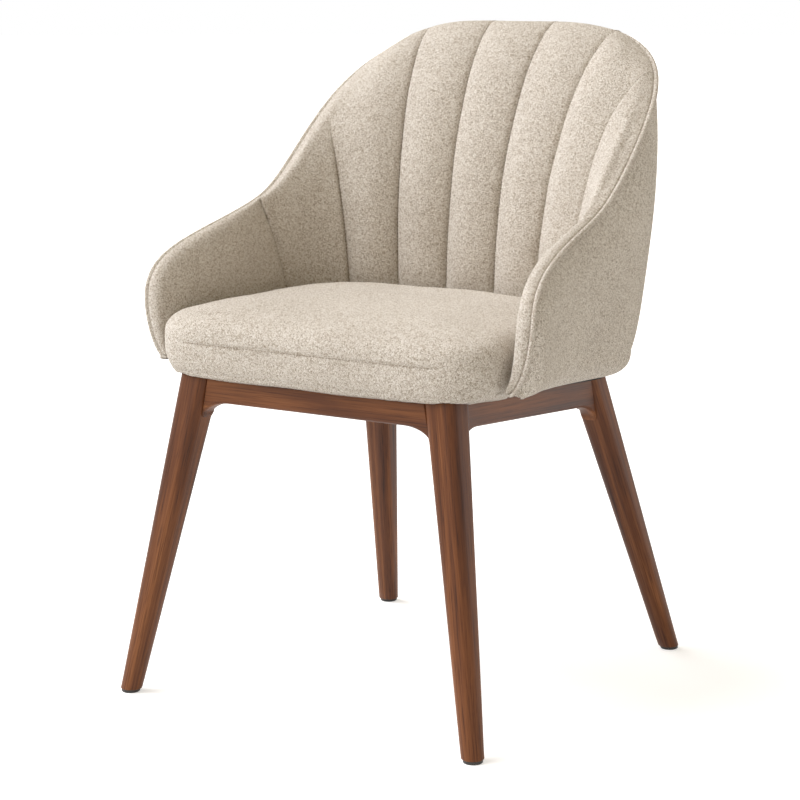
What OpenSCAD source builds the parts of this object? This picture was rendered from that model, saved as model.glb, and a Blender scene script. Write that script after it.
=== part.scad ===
// Upholstered dining armchair: a channelled tub shell and a crowned seat
// cushion on a base of four splayed walnut legs and four aprons.
// Millimetres. The front faces -Y, left and right are as seen from the front,
// right is +X, and the floor is z = 0.

/* [Shell] */
// Height of the crest of the back above the floor
back_h = 815; // [760:1:870]
// Height of the arm's rim where it leaves the back
arm_h = 602; // [570:1:630]
// Half the width across the rim at the sides
rim_w = 245; // [240:1:265]
// Distance from the side point of the rim back to its middle
rim_d = 238; // [215:1:250]
// How far forward of the chair's middle the arm's front edge lies
arm_front = 190; // [175:1:200]
// How much each arm flares outward at its front edge
arm_flare = 30; // [15:1:40]
// Half the width of the shell's flat underside
under_w = 218; // [212:1:228]
// Distance from the side point back to the rear of the underside
under_d = 150; // [146:1:160]
// Outward swell of the shell's sides below the rim
side_swell = 21; // [19:1:30]
// Outward swell of the back's middle
back_swell = 4; // [2:1:12]
// Radius of the padded roll along the back's rim
roll_r = 13; // [9:1:16]
// Radius of the padded roll along the arms' front edges
arm_roll = 17; // [11:1:20]

/* [Inner padding] */
// Half the width between the inner faces of the arms
inner_w = 224; // [216:1:227]
// Depth of the inner back's curve, measured from its side point
inner_d = 142; // [130:1:150]
// Height at which the inner back starts to lean away
knee_h = 480; // [470:1:495]
// Depth of the sewn channels of the back
channel_depth = 10; // [6:1:14]
// Crown of the plain pads inside the arms
arm_crown = 3; // [1:0.5:5]

/* [Moulded core] */
// Thickness of the moulded plywood core
core_t = 9; // [7:0.5:10]
// Thickness of the foam and cloth outside the core
outer_t = 7; // [6:0.5:9]
// Mean radius of the bend between wall and flange
bend_r = 30; // [26:1:32]
// Distance the core's top edge stays below the rim
core_drop = 30; // [26:1:40]
// Half the width of the opening inside the flange
flange_in_w = 128; // [115:1:135]
// Distance from the side point back to the flange's rear inner edge
flange_in_d = 55; // [40:1:62]

/* [Piping] */
// Diameter of the piping cord
piping_d = 5; // [4:0.25:6]

/* [Seat] */
// Thickness of the plywood seat board
board_t = 12; // [9:0.5:15]
// Half the width of the seat board
board_w = 208; // [200:1:211]
// Distance from the middle forward to the board's front edge
board_front = 235; // [234:0.5:237]
// Half the width of the seat cushion between the arms
cushion_w = 219; // [208:1:221]
// Distance from the middle forward to the cushion's front bulge
cushion_front = 247; // [244:1:255]
// Height of the cushion's crown above the frame's top
cushion_h = 100; // [90:1:110]
// Depth that the cushion's front lip hangs below the frame's top
lip_drop = 11; // [7:1:14]

/* [Seat frame] */
// Height of the frame's top in the middle of the chair
frame_h = 390; // [375:1:400]
// Angle that the frame falls toward the rear
frame_pitch = 4.3; // [3:0.1:6]
// Height of the aprons
apron_h = 40; // [34:1:48]
// Thickness of the aprons
apron_t = 22; // [18:1:25]
// Distance from the legs' outer faces back to the aprons' faces
apron_setback = 6; // [5:0.5:7]
// Radius of the aprons' lower edges
apron_round = 5; // [2:0.5:7]
// Length of the flared foot at each end of an apron
horn_l = 34; // [20:1:45]
// Height of the flared foot at each end of an apron
horn_h = 20; // [10:1:26]

/* [Legs] */
// Width of the legs at the frame's top
leg_w = 41; // [38:0.5:43]
// Corner radius of the legs at the frame's top
leg_corner = 11; // [9:0.5:12]
// Diameter of the legs at the foot
foot_d = 26.5; // [25:0.5:30]
// Half the distance between the front feet
foot_front_x = 249; // [235:1:265]
// Distance from the middle forward to the front feet
foot_front_y = 269; // [255:1:280]
// Half the distance between the front legs at the frame's top
top_front_x = 177; // [172:1:180]
// Distance from the middle forward to the front legs at the frame's top
top_front_y = 212; // [208:0.5:212.5]
// Half the distance between the rear feet
foot_rear_x = 222; // [210:1:240]
// Distance from the middle back to the rear feet
foot_rear_y = 269; // [255:1:280]
// Half the distance between the rear legs at the frame's top
top_rear_x = 156; // [152:1:160]
// Distance from the middle back to the rear legs at the frame's top
top_rear_y = 144; // [140:1:148]

/* [Joinery and hardware] */
// Diameter of the apron dowels
dowel_d = 8; // [6:0.5:10]
// Length of the apron dowels
dowel_l = 32; // [26:1:36]
// Distance between the two dowels of a joint
dowel_gap = 18; // [14:1:20]
// Height of the corner blocks
block_h = 34; // [31:1:36]
// Reach of the corner blocks along each apron
block_reach = 52; // [44:1:60]
// Diameter of the seat bolts and leg bolts
bolt_d = 6; // [5:0.5:6]
// Diameter of the block screws
screw_d = 4; // [3:0.5:5]
// Length of the block screws
screw_l = 32; // [28:1:36]
// Thickness of the dust cover under the shell
dust_t = 0.8; // [0.5:0.1:1.5]
// Diameter of the floor glides
glide_d = 23; // [18:0.5:25]
// Height of the floor glides
glide_h = 4; // [3:0.5:6]
// Diameter of the glide nails
nail_d = 2.5; // [2:0.25:3]
// Clearance between a soft piece and its neighbour
soft_gap = 0.8; // [0.6:0.1:0.9]
// Clearance where two padded pieces are divided by different seams
lap_gap = 1.5; // [1.2:0.1:1.6]
// Clearance round a dowel, bolt, screw or nail in its hole
fit_gap = 0.1; // [0.05:0.05:0.3]

/* [Hidden] */
pin_fn = 16;
plate_fn = 24;

walnut = "#7a4b31";
ply = "#cfa873";
cloth = "#cdbfa8";
steel = "#9a9ca0";

// Exponents of the plan curves and of the arm's front corner
rim_n = 3.5;
under_n = 4.5;
inner_n = 2.35;
corner_n = 6.5;
// Side point of the outer and of the inner plan curves
side_y = 30;
inner_y = -20;
// Angles round the plan where the rim starts and stops falling to the arm
fall_start = 12;
fall_end = 106;
// How much later the fall of the rim sets in
fall_power = 1.35;
// Height of the crest above the piping at the back
rim_drop = 0.6 * roll_r;
// Fall of the rim from back to arm, so that it passes arm_h at the side
function fall_share(t) = pow((1 - cos(180 * clamp((t - fall_start) / (fall_end - fall_start)))) / 2, fall_power);
fall_h = (back_h - rim_drop - arm_h) / fall_share(90);
// Side view angle of the last column that has the core behind it
core_psi = 40;
s_core = 1 + core_psi / 90;
// Places of the sewn seams round the shell, on the base and on the rim
seam_base = [0.1, 0.293, 0.482, 0.742];
seam_rim = [0.12, 0.333, 0.526, 1.07];
seam_power = [1.7, 1.7, 1.7, 2.5];

tan_p = tan(frame_pitch);
cos_p = cos(frame_pitch);
// Height of a plane parallel to the frame's top, h above it
function frame_z(y, h = 0) = frame_h - tan_p * y + h / cos_p;
function mix(a, b, t) = a + (b - a) * t;
function clamp(v) = min(1, max(0, v));
function ease(v) = let(c = clamp(v)) c * c * (3 - 2 * c);
function unit(v) = v / norm(v);
function reversed(list) = [for (i = [len(list) - 1:-1:0]) list[i]];
// Distance from the centre of a unit superellipse at angle t
function super_r(t, n) = pow(pow(abs(sin(t)), n) + pow(abs(cos(t)), n), -1 / n);
function super_xy(a, b, y0, n, t) = [a * super_r(t, n) * sin(t), y0 + b * super_r(t, n) * cos(t)];

// The shell's columns: s runs from 0 at the back's middle through 1 at the
// side to 2 at the lower end of the arm's front edge; negative s mirrors it.
function psi(s) = 90 * (s - 1);
function arm_share(s) = super_r(psi(s), corner_n) * sin(psi(s));
function foot_share(s) = psi(s) < core_psi ? arm_share(s)
    : mix(arm_share(s_core), 1, (psi(s) - core_psi) / (90 - core_psi));
arm_slope = 0.285;
// Slope of the rim where the back ends, which eases into the arm's slope over
// this length
side_slope = (rim_back(89)[2] - rim_back(90)[2]) / (rim_back(89)[1] - rim_back(90)[1]);
slope_l = 22;
function arm_top(d) = arm_h - arm_slope * d - (side_slope - arm_slope) * slope_l * (1 - exp(-d / slope_l));
// The outer cover draws in over this height above the underside
tuck_h = 95;
tuck = 40;
function tuck_in(h) = tuck * (1 - sqrt(1 - pow(1 - clamp(h / tuck_h), 2)));
arm_low = 8;
function rim_back(t) = let(p = super_xy(rim_w, rim_d, side_y, rim_n, t))
    [p[0], p[1], back_h - rim_drop - fall_h * fall_share(t)];
function rim_arm(s) =
    let(share = arm_share(s), y = mix(side_y, -arm_front, share),
        low = frame_z(-arm_front, arm_low),
        z = mix(low, arm_top(side_y - y), super_r(psi(s), corner_n) * cos(psi(s))))
    [rim_w + arm_flare * share * share - tuck_in(z - frame_z(y)), y, z];
function rim(s) = s <= 1 ? rim_back(90 * s) : rim_arm(s);
// Horizontal outward direction of a column
function outward(s) = s >= 1 ? [1, 0, 0] :
    let(t = 90 * s, r = super_r(t, rim_n))
    unit([pow(r * sin(t), rim_n - 1) / rim_w, pow(r * cos(t), rim_n - 1) / rim_d, 0]);
// Direction from the rim to its crest, square to the rim
function crestward(s) = let(a = max(0, s - 0.01), b = min(2, s + 0.01))
    unit(cross(rim(b) - rim(a), outward(s)));
// Shares of the arm's flare that the underside and the padding's foot take, and
// how far behind the arm's front edge they end
under_flare = 1.35;
under_back = 6;
pad_flare = 0.95;
pad_back = 12;
function underside(s) = let(
    p = s <= 1 ? super_xy(under_w, under_d, side_y, under_n, 90 * s)
        : [under_w + under_flare * arm_flare * pow(foot_share(s), 2), mix(side_y, -arm_front + under_back, foot_share(s))])
    [p[0], p[1], frame_z(p[1], dust_t)];
function swell(s) = mix(back_swell, side_swell, ease(s / 0.6)) * (1 - 0.8 * ease((s - s_core) / (2 - s_core)));
// Outer surface, q = 0 at the rim and 1 at the underside; its lower edge is
// tighter along the arms
function edge_n(s) = mix(12, 22, clamp((s - 1) / (s_core - 1)));
function outer_at(s, q) = mix(rim(s), underside(s), q)
    + outward(s) * swell(s) * (1 - pow(1 - q, 5)) * (1 - pow(q, edge_n(s)));
// Share q of the outer surface at height z
function outer_q(s, z) = clamp((rim(s)[2] - z) / (rim(s)[2] - underside(s)[2]));
// A point d inside the outer surface at height z
function inside(s, z, d) = outer_at(s, outer_q(s, z)) - outward(s) * d;

// Inner surface
pad_low = core_t + bend_r - core_t / 2;
nose_low = 3;
nose_t = 9;
function nose_share(s) = ease((psi(s) - core_psi) / 12);
function inner_low(s) = let(
    p = s <= 1 ? super_xy(inner_w, inner_d, inner_y, inner_n, 90 * s)
        : [inner_w + pad_flare * arm_flare * pow(foot_share(s), 2), mix(inner_y, -arm_front + pad_back, foot_share(s))],
    h = mix(dust_t + pad_low + fit_gap, nose_low, nose_share(s)))
    [mix(p[0], underside(s)[0] - nose_t, nose_share(s)), p[1], frame_z(p[1], h)];
function roll(s) = mix(roll_r, arm_roll, ease((s - 1) / (s_core - 1)));
function crest(s) = rim(s) - outward(s) * roll(s) + crestward(s) * rim_drop;
function lean(s, v) = let(a = ease((s - 0.6) / 0.4))
    1 - pow(1 - pow(v, mix(2, 4.5, a)), mix(0.65, 0.55, a));
// v runs from 0 at the pad's foot to 1 at the crest and on to 2 at the piping
function inner_at(s, v) = v > 1
    ? let(a = 90 * (v - 1), c = crest(s))
        c + outward(s) * roll(s) * sin(a) - crestward(s) * (rim_drop - lap_gap) * (1 - cos(a))
    : let(a = inner_low(s), b = crest(s), z = mix(a[2], b[2], v),
        knee = mix(min(knee_h, mix(a[2], b[2], 0.35)), a[2], nose_share(s)),
        t = clamp((z - knee) / (b[2] - knee)), w = mix(lean(s, t), t, nose_share(s)))
        [mix(a[0], b[0], w), mix(a[1], b[1], w), z];
function mirrored(s, p) = s < 0 ? [-p[0], p[1], p[2]] : p;

// Rows of the padding: foot to crest, then over the roll
pad_rows = 12;
roll_rows = 3;
row_v = concat([for (i = [0:pad_rows]) 1 - pow(1 - i / pad_rows, 1.5)], [for (i = [1:roll_rows]) 1 + i / roll_rows]);
// Share of a column's width between rim and base taken by the seams
function seam_s(k, v) = mix(seam_base[k], seam_rim[k], pow(min(v, 1), seam_power[k]));
// Rows of the shell's wall, from the rim down to where the core bends inward
function col_h(s) = rim(s)[2] - underside(s)[2];
function top_drop(s) = min(core_drop, 0.35 * col_h(s));
function bend_h(s) = min(core_t / 2 + bend_r, 0.35 * col_h(s));
wall_rows = 5;
function wall_z(s, k) = k <= 2 ? rim(s)[2] - top_drop(s) * k / 2
    : mix(rim(s)[2] - top_drop(s), underside(s)[2] + bend_h(s), (1 - cos(180 * (k - 2) / wall_rows)) / 2);
// Depth of the outer cover's inner face: full against the core, thin at the rim
function cover_depth(s, z) = mix(piping_d / 2, outer_t - soft_gap, ease((rim(s)[2] - z) / top_drop(s)))
    * mix(1, 0.5, ease((s - s_core) / (2 - s_core)));
// Back face of the padding beside row v
function back_face(s, v) =
    let(low = inner_low(s)[2], edge = rim(s)[2], top = edge - top_drop(s),
        z = v <= 1 ? mix(low, top, v) : mix(top, edge, v - 1),
        cored = s <= s_core + seam_gap && v <= 1)
    inside(s, z, (cored ? outer_t + core_t : cover_depth(s, z)) + lap_gap * (1 + nose_share(s)))
        + (v > 1 ? crestward(s) * lap_gap * (v - 1) : [0, 0, 0]);
seam_gap = 0.009;

// Closed skin over rings of equally many points. The ends are flat polygons;
// where each ring is a front face and a back face, they are strips across the
// first rows and a fan over the rest.
function ring_faces(rows, cols, strips) = concat(
    [for (i = [0:rows - 2]) for (j = [0:cols - 1])
        let(a = i * cols + j, b = i * cols + (j + 1) % cols) [b, a, b + cols]],
    [for (i = [0:rows - 2]) for (j = [0:cols - 1])
        let(a = i * cols + j, b = i * cols + (j + 1) % cols) [b + cols, a, a + cols]],
    strips == 0 ? [[for (j = [0:cols - 1]) j], [for (j = [cols - 1:-1:0]) (rows - 1) * cols + j]]
        : concat(end_faces(cols, strips, 0), [for (face = end_faces(cols, strips, (rows - 1) * cols)) reversed(face)]));
function end_faces(cols, strips, start) = concat(
    [for (j = [0:strips - 1]) let(a = start + j, b = start + cols - 1 - j) each [[a, a + 1, b], [a + 1, b - 1, b]]],
    strips < cols / 2 - 1 ? [for (k = [strips + 1:cols - 3 - strips]) [start + strips, start + k, start + k + 1]] : [],
    strips < cols / 2 - 1 ? [[start + strips, start + cols - 2 - strips, start + cols - 1 - strips]] : []);
module skin(rings, strips = 0) {
    polyhedron([for (r = rings) each r], ring_faces(len(rings), len(rings[0]), strips), convexity = 6);
}
module both_sides() {
    children();
    mirror([1, 0, 0]) children();
}
// Places its children on the frame's top plane, which falls toward the rear
module in_frame() {
    translate([0, 0, frame_h]) rotate([-frame_pitch, 0, 0]) children();
}

// Legs: round at the foot, rounded square at the frame's top
front_foot = [foot_front_x, -foot_front_y];
front_top = [top_front_x, -top_front_y];
rear_foot = [foot_rear_x, foot_rear_y];
rear_top = [top_rear_x, top_rear_y];
corner_steps = 7;
leg_levels = [0, 0.5, 1];
function leg_half(z) = mix(foot_d, leg_w, z / frame_h) / 2;
function leg_round(z) = mix(foot_d / 2, leg_corner, z / frame_h);
function leg_axis(foot, top, z) = mix(foot, top, z / frame_h);
function leg_point(foot, top, z, side, step) =
    let(r = leg_round(z), a = 90 * (side + step / corner_steps),
        c = [[1, 1], [-1, 1], [-1, -1], [1, -1]][side])
    leg_axis(foot, top, z) + c * (leg_half(z) - r) + r * [cos(a), sin(a)];
// Height where an edge line of the leg meets the frame's top
function leg_cut(foot, top, side, step) =
    let(a = leg_point(foot, top, 0, side, step)[1], b = leg_point(foot, top, frame_h, side, step)[1])
    (frame_h - tan_p * a) / (1 + tan_p * (b - a) / frame_h);
module leg_body(foot, top) {
    skin([for (level = leg_levels) [for (side = [0:3]) for (step = [0:corner_steps])
        let(z = mix(glide_h, leg_cut(foot, top, side, step), level), p = leg_point(foot, top, z, side, step))
        [p[0], p[1], z]]]);
}

// Aprons: where their faces lie beside the legs
front_mid = frame_z(-top_front_y) - apron_h / 2;
rear_mid = frame_z(top_rear_y) - apron_h / 2;
front_axis = leg_axis(front_foot, front_top, front_mid);
rear_axis = leg_axis(rear_foot, rear_top, rear_mid);
front_face = front_axis[1] - leg_half(front_mid) + apron_setback;
rear_face = rear_axis[1] + leg_half(rear_mid) - apron_setback;
side_front_x = front_axis[0] + leg_half(front_mid) - apron_setback;
side_rear_x = rear_axis[0] + leg_half(rear_mid) - apron_setback;
side_fall = (side_front_x - side_rear_x) / (rear_axis[1] - front_axis[1]);
function side_face_x(y) = side_front_x - side_fall * (y - front_axis[1]);
function side_in_x(y) = side_face_x(y) - apron_t;
// Inner face of a leg at height z, seen from the front
function leg_inner_x(foot, top, z) = leg_axis(foot, top, z)[0] - leg_half(z);
// Rear face of the front leg and front face of the rear leg at height z
function side_start(z) = leg_axis(front_foot, front_top, z)[1] + leg_half(z);
function side_end(z) = leg_axis(rear_foot, rear_top, z)[1] - leg_half(z);
round_steps = 3;
// Section of an apron: [distance from the outer face, depth below the frame's top]
function apron_section(depth) = concat([[0, 0]],
    [for (i = [0:round_steps]) let(a = 90 * i / round_steps)
        [apron_round * (1 - cos(a)), depth - apron_round * (1 - sin(a))]],
    [for (i = [round_steps:-1:0]) let(a = 90 * i / round_steps)
        [apron_t - apron_round * (1 - cos(a)), depth - apron_round * (1 - sin(a))]],
    [[apron_t, 0]]);
horn_steps = 6;
// Stations along an apron: [distance from its start, depth of the lower edge]
function apron_stations(length) = concat(
    [for (i = [0:horn_steps]) let(a = 90 * i / horn_steps)
        [horn_l * (1 - cos(a)), apron_h + horn_h * (1 - sin(a))]],
    [for (i = [horn_steps:-1:0]) let(a = 90 * i / horn_steps)
        [length - horn_l * (1 - cos(a)), apron_h + horn_h * (1 - sin(a))]]);
module cross_rail(foot, top, face, inward, mid) {
    length = 2 * leg_inner_x(foot, top, mid);
    skin([for (st = apron_stations(length)) [for (p = apron_section(st[1]))
        let(y = face + inward * p[0], z = frame_z(y) - p[1], u = st[0] / length)
        [inward * mix(-1, 1, u) * leg_inner_x(foot, top, z), y, z]]]);
}
side_l = side_end(rear_mid) - side_start(front_mid);
// Height of a point at share u along the side, a depth below the frame's top
function side_z(u, depth) =
    let(a = mix(side_start(0), side_end(0), u), b = mix(side_start(frame_h), side_end(frame_h), u))
    (frame_h - tan_p * a - depth) / (1 + tan_p * (b - a) / frame_h);
module side_rail() {
    skin([for (st = apron_stations(side_l)) [for (p = apron_section(st[1]))
        let(u = st[0] / side_l, z = side_z(u, p[1]), y = mix(side_start(z), side_end(z), u))
        [side_face_x(y) - p[0], y, z]]]);
}

// Dowels of the right half: [x, y, z, turn about z]
function cross_dowels(foot, top, face, inward) = [for (up = [-0.5, 0.5])
    let(y = face + inward * apron_t / 2, z = frame_z(y) - apron_h / 2 + up * dowel_gap)
    [leg_inner_x(foot, top, z), y, z, 0]];
function side_dowels(u) = [for (up = [-0.5, 0.5])
    let(z = side_z(u, apron_h / 2 - up * dowel_gap), y = mix(side_start(z), side_end(z), u))
    [side_face_x(y) - apron_t / 2, y, z, 90 + atan(side_fall)]];
right_dowels = concat(cross_dowels(front_foot, front_top, front_face, 1),
    cross_dowels(rear_foot, rear_top, rear_face, -1), side_dowels(0), side_dowels(1));
module dowel_set(gap = 0) {
    for (at = right_dowels)
        translate([at[0], at[1], at[2]]) rotate([0, 0, at[3]]) rotate([0, 90, 0])
            cylinder(d = dowel_d + 2 * gap, h = dowel_l + 2 * gap, center = true, $fn = pin_fn);
}

// Corner blocks, one set of values for the front and one for the rear:
// [inner corner of the aprons, inner corner of the leg's top, 1 or -1 toward the middle]
function inner_corner(face, fore) = [side_in_x(face + fore * apron_t), face + fore * apron_t];
function leg_corner_in(foot, top, y, fore) = leg_axis(foot, top, frame_z(y)) + leg_half(frame_z(y)) * [-1, fore];
front_set = [inner_corner(front_face, 1), leg_corner_in(front_foot, front_top, -top_front_y, 1), 1];
rear_set = [inner_corner(rear_face, -1), leg_corner_in(rear_foot, rear_top, top_rear_y, -1), -1];
block_nib = 10;
block_gap = 1;
block_drop = 1.5;
function block_long(set) = set[0] + [-block_reach, set[2] * block_nib];
function block_plan(set) =
    let(c = set[0], leg = set[1], fore = set[2], end_y = c[1] + fore * block_reach, clear_y = leg[1] + fore * block_gap)
    [[leg[0] - block_gap, c[1]], [c[0] - block_reach, c[1]], block_long(set),
     block_long(set) + (block_reach - block_nib) * [1, fore], [side_in_x(end_y), end_y],
     [side_in_x(clear_y), clear_y], [leg[0] - block_gap, clear_y]];
function block_mid(set) = frame_z(set[0][1]) - block_drop - block_h / 2;
// Leg bolts run level at 45 degrees through the block into the leg's inner corner
leg_bolt_in = 26;
washer_t = 1.5;
washer_d = 2.4 * bolt_d;
nut_h = 0.8 * bolt_d;
nut_w = 1.7 * bolt_d;
bolt_tip = 3;
function block_depth(set) = (block_long(set) - set[1]) * [-1, set[2]] / sqrt(2);
module at_leg_bolt(set, out = 0) {
    translate([set[1][0], set[1][1], block_mid(set)]) rotate([0, 0, set[2] * 135]) rotate([0, 90, 0])
        translate([0, 0, out]) children();
}
module leg_bolt(set, gap = 0) {
    at_leg_bolt(set, -leg_bolt_in - gap)
        cylinder(d = bolt_d + 2 * gap, h = leg_bolt_in + block_depth(set) + washer_t + nut_h + bolt_tip, $fn = pin_fn);
}
// Block screws: one into the cross apron and one into the side apron
screw_in = 18;
screw_head = 19;
screw_rise = 9.5;
module at_block_screws(set) {
    c = set[0];
    y = c[1] + set[2] * (block_reach - screw_in);
    translate([c[0] - block_reach + screw_in, c[1] + set[2] * screw_head, block_mid(set) + screw_rise])
        rotate([set[2] * 90, 0, 0]) children();
    translate([side_in_x(y) - screw_head, y, block_mid(set) - screw_rise]) rotate([0, 90, 0]) children();
}
module screw_body(gap = 0) {
    cylinder(d = screw_d + 2 * gap, h = screw_l + gap, $fn = pin_fn);
    cylinder(d = 2 * screw_d + 2 * gap, h = screw_d / 2, $fn = pin_fn);
}
// Room for the head and the driver behind a sunk screw
module screw_hole() {
    screw_body(fit_gap);
    translate([0, 0, -block_reach]) cylinder(d = 2 * screw_d + 2 * fit_gap, h = block_reach + screw_d / 2, $fn = pin_fn);
}

// Seat bolts stand square to the frame and pass up through the blocks
bolt_in = [11, 10];
function seat_bolt_at(set) = let(p = set[0] + [bolt_in[0] - block_reach, set[2] * bolt_in[1]]) [p[0], p[1] / cos_p];
bolt_spots = [for (side = [1, -1]) for (set = [front_set, rear_set])
    [side * seat_bolt_at(set)[0], seat_bolt_at(set)[1]]];
module at_seat_bolts(h = 0) {
    in_frame() for (p = bolt_spots) translate([p[0], p[1], h]) children();
}
module seat_bolt_holes() {
    at_seat_bolts(-block_drop - 2 * block_h) cylinder(d = bolt_d + 2 * fit_gap, h = 4 * block_h, $fn = pin_fn);
}
// Levels above the frame's top
flange_top = dust_t + core_t;
board_top = flange_top + board_t;
t_nut_flange = 1.5;
t_nut_d = 3 * bolt_d;
t_nut_barrel = 1.35 * bolt_d;

module leg_right(foot, top, set) {
    color(walnut) difference() {
        leg_body(foot, top);
        dowel_set(fit_gap);
        leg_bolt(set, fit_gap);
        translate([foot[0], foot[1], 0]) cylinder(d = nail_d + 2 * fit_gap, h = glide_h + nail_l + fit_gap, $fn = pin_fn);
    }
}
module apron_cross(foot, top, face, inward, mid, set) {
    color(walnut) difference() {
        cross_rail(foot, top, face, inward, mid);
        both_sides() {
            dowel_set(fit_gap);
            at_block_screws(set) screw_body(fit_gap);
        }
    }
}
module apron_side() {
    color(walnut) difference() {
        side_rail();
        dowel_set(fit_gap);
        at_block_screws(front_set) screw_body(fit_gap);
        at_block_screws(rear_set) screw_body(fit_gap);
    }
}
module block_right(set) {
    color("#b98d5e") difference() {
        intersection() {
            translate([0, 0, block_mid(set) - 2 * block_h]) linear_extrude(4 * block_h) polygon(block_plan(set));
            in_frame() translate([-back_h, -back_h, -block_drop - block_h]) cube([2 * back_h, 2 * back_h, block_h]);
        }
        leg_bolt(set, fit_gap);
        at_block_screws(set) screw_hole();
        seat_bolt_holes();
    }
}
module apron_dowels() {
    color("#c79f6d") both_sides() dowel_set();
}
module block_screws() {
    color(steel) both_sides() for (set = [front_set, rear_set]) at_block_screws(set) screw_body();
}
module leg_bolts() {
    color(steel) both_sides() for (set = [front_set, rear_set]) leg_bolt(set);
}
module ring(d, bore, h) {
    difference() {
        cylinder(d = d, h = h, $fn = pin_fn);
        translate([0, 0, -1]) cylinder(d = bore, h = h + 2, $fn = pin_fn);
    }
}
module leg_bolt_washers() {
    color(steel) both_sides() for (set = [front_set, rear_set])
        at_leg_bolt(set, block_depth(set)) ring(washer_d, bolt_d + 2 * fit_gap, washer_t);
}
module leg_bolt_nuts() {
    color(steel) both_sides() for (set = [front_set, rear_set])
        at_leg_bolt(set, block_depth(set) + washer_t) difference() {
            cylinder(d = nut_w / cos(30), h = nut_h, $fn = 6);
            translate([0, 0, -1]) cylinder(d = bolt_d + 2 * fit_gap, h = nut_h + 2, $fn = pin_fn);
        }
}
nail_l = 14;
nail_head_d = 2.4 * nail_d;
nail_sink = 1;
module at_feet() {
    both_sides() for (foot = [front_foot, rear_foot]) translate([foot[0], foot[1], 0]) children();
}
module glide_pads() {
    color("#2b2622") at_feet() difference() {
        rotate_extrude($fn = plate_fn) polygon([[0, 0], [glide_d / 2 - 1, 0], [glide_d / 2, 1], [glide_d / 2, glide_h], [0, glide_h]]);
        translate([0, 0, -1]) cylinder(d = nail_head_d + 2 * fit_gap, h = 1 + 2 * nail_sink, $fn = pin_fn);
        cylinder(d = nail_d + 2 * fit_gap, h = glide_h + 1, $fn = pin_fn);
    }
}
module glide_nails() {
    color(steel) at_feet() {
        translate([0, 0, nail_sink]) cylinder(d = nail_head_d, h = nail_sink, $fn = pin_fn);
        translate([0, 0, nail_sink]) cylinder(d = nail_d, h = glide_h - nail_sink + nail_l, $fn = pin_fn);
    }
}

// Plan in the frame's plane: inside the shell's bend by inset, square in front
plate_round = 28;
plate_steps = 4;
function bend_plan(s, inset) = let(p = bend_mid(abs(s)) - outward(abs(s)) * inset)
    [sign(s) * min(p[0], board_w), p[1] / cos_p];
// The rounded front corners of a plate, from the right side to the left
function plate_front(w, front) = let(turns = [for (i = [0:plate_steps]) 90 * i / plate_steps]) concat(
    [for (a = turns) [w - plate_round * (1 - cos(a)), -front + plate_round * (1 - sin(a))]],
    [for (a = turns) [-w + plate_round * (1 - sin(a)), -front + plate_round * (1 - cos(a))]]);
function plate_plan(w, front, inset) =
    concat([for (s = reversed(both_ways(core_columns))) bend_plan(s, inset)], plate_front(w, front));
spacer_back = 150;
module dust_cover() {
    color("#26241f") difference() {
        in_frame() linear_extrude(dust_t) polygon(plate_plan(board_w, -front_face, -8));
        seat_bolt_holes();
    }
}
module front_spacer() {
    color(ply) difference() {
        in_frame() translate([0, 0, dust_t]) linear_extrude(core_t)
            polygon(concat([[-board_w, -spacer_back], [board_w, -spacer_back]], plate_front(board_w, -front_face)));
        seat_bolt_holes();
    }
}
module seat_board() {
    color(ply) difference() {
        in_frame() translate([0, 0, flange_top]) linear_extrude(board_t)
            polygon(plate_plan(board_w, board_front, 1));
        seat_bolt_holes();
        at_seat_bolts(board_top - t_nut_flange) cylinder(d = t_nut_d + 2 * fit_gap, h = board_t, $fn = plate_fn);
        at_seat_bolts(flange_top + 1) cylinder(d = t_nut_barrel + 2 * fit_gap, h = board_t, $fn = pin_fn);
    }
}
module t_nuts() {
    color(steel) at_seat_bolts(flange_top + 1) difference() {
        union() {
            cylinder(d = t_nut_barrel, h = board_t - 1, $fn = pin_fn);
            translate([0, 0, board_t - 1 - t_nut_flange]) cylinder(d = t_nut_d, h = t_nut_flange, $fn = plate_fn);
        }
        translate([0, 0, -1]) cylinder(d = bolt_d + 2 * fit_gap, h = board_t + 2, $fn = pin_fn);
    }
}
bolt_head_h = 0.65 * bolt_d;
module seat_bolts() {
    bottom = -block_drop - block_h - washer_t;
    color(steel) at_seat_bolts(bottom) {
        cylinder(d = bolt_d, h = board_top - t_nut_flange / 2 - bottom, $fn = pin_fn);
        translate([0, 0, -bolt_head_h]) cylinder(d = nut_w / cos(30), h = bolt_head_h, $fn = 6);
    }
}
module seat_washers() {
    color(steel) at_seat_bolts(-block_drop - block_h - washer_t) ring(washer_d, bolt_d + 2 * fit_gap, washer_t);
}

// Columns of the shell, closest together round the rear corners
side_cols = 15;
arm_cols = 4;
nose_cols = 6;
corner_bias = 0.06;
core_columns = concat([for (i = [0:side_cols - 1]) let(u = i / side_cols) u + corner_bias * sin(360 * u)],
    [for (i = [0:arm_cols]) mix(1, s_core, i / arm_cols)]);
cover_columns = concat(core_columns, [for (i = [1:nose_cols]) mix(s_core, 2, i / nose_cols)]);
function both_ways(list) = concat(reversed(list), [for (i = [1:len(list) - 1]) -list[i]]);

// Moulded core: wall, bend and flange, one closed section for each column
function bend_mid(s) = let(p = inside(s, wall_z(s, wall_rows + 2), outer_t + core_t / 2))
    p - outward(s) * bend_r;
// Point of the bend at angle a below the wall, r from the bend's middle
function bend_at(s, a, r) = let(p = bend_mid(s) + outward(s) * r * cos(a))
    [p[0], p[1], frame_z(p[1], dust_t + core_t / 2 + bend_r - r * sin(a))];
function flange_edge(s) = s <= 1 ? super_xy(flange_in_w, flange_in_d, side_y, under_n, 90 * s)
    : [flange_in_w, bend_mid(s)[1]];
bend_angles = [0, 30, 60, 90];
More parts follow.
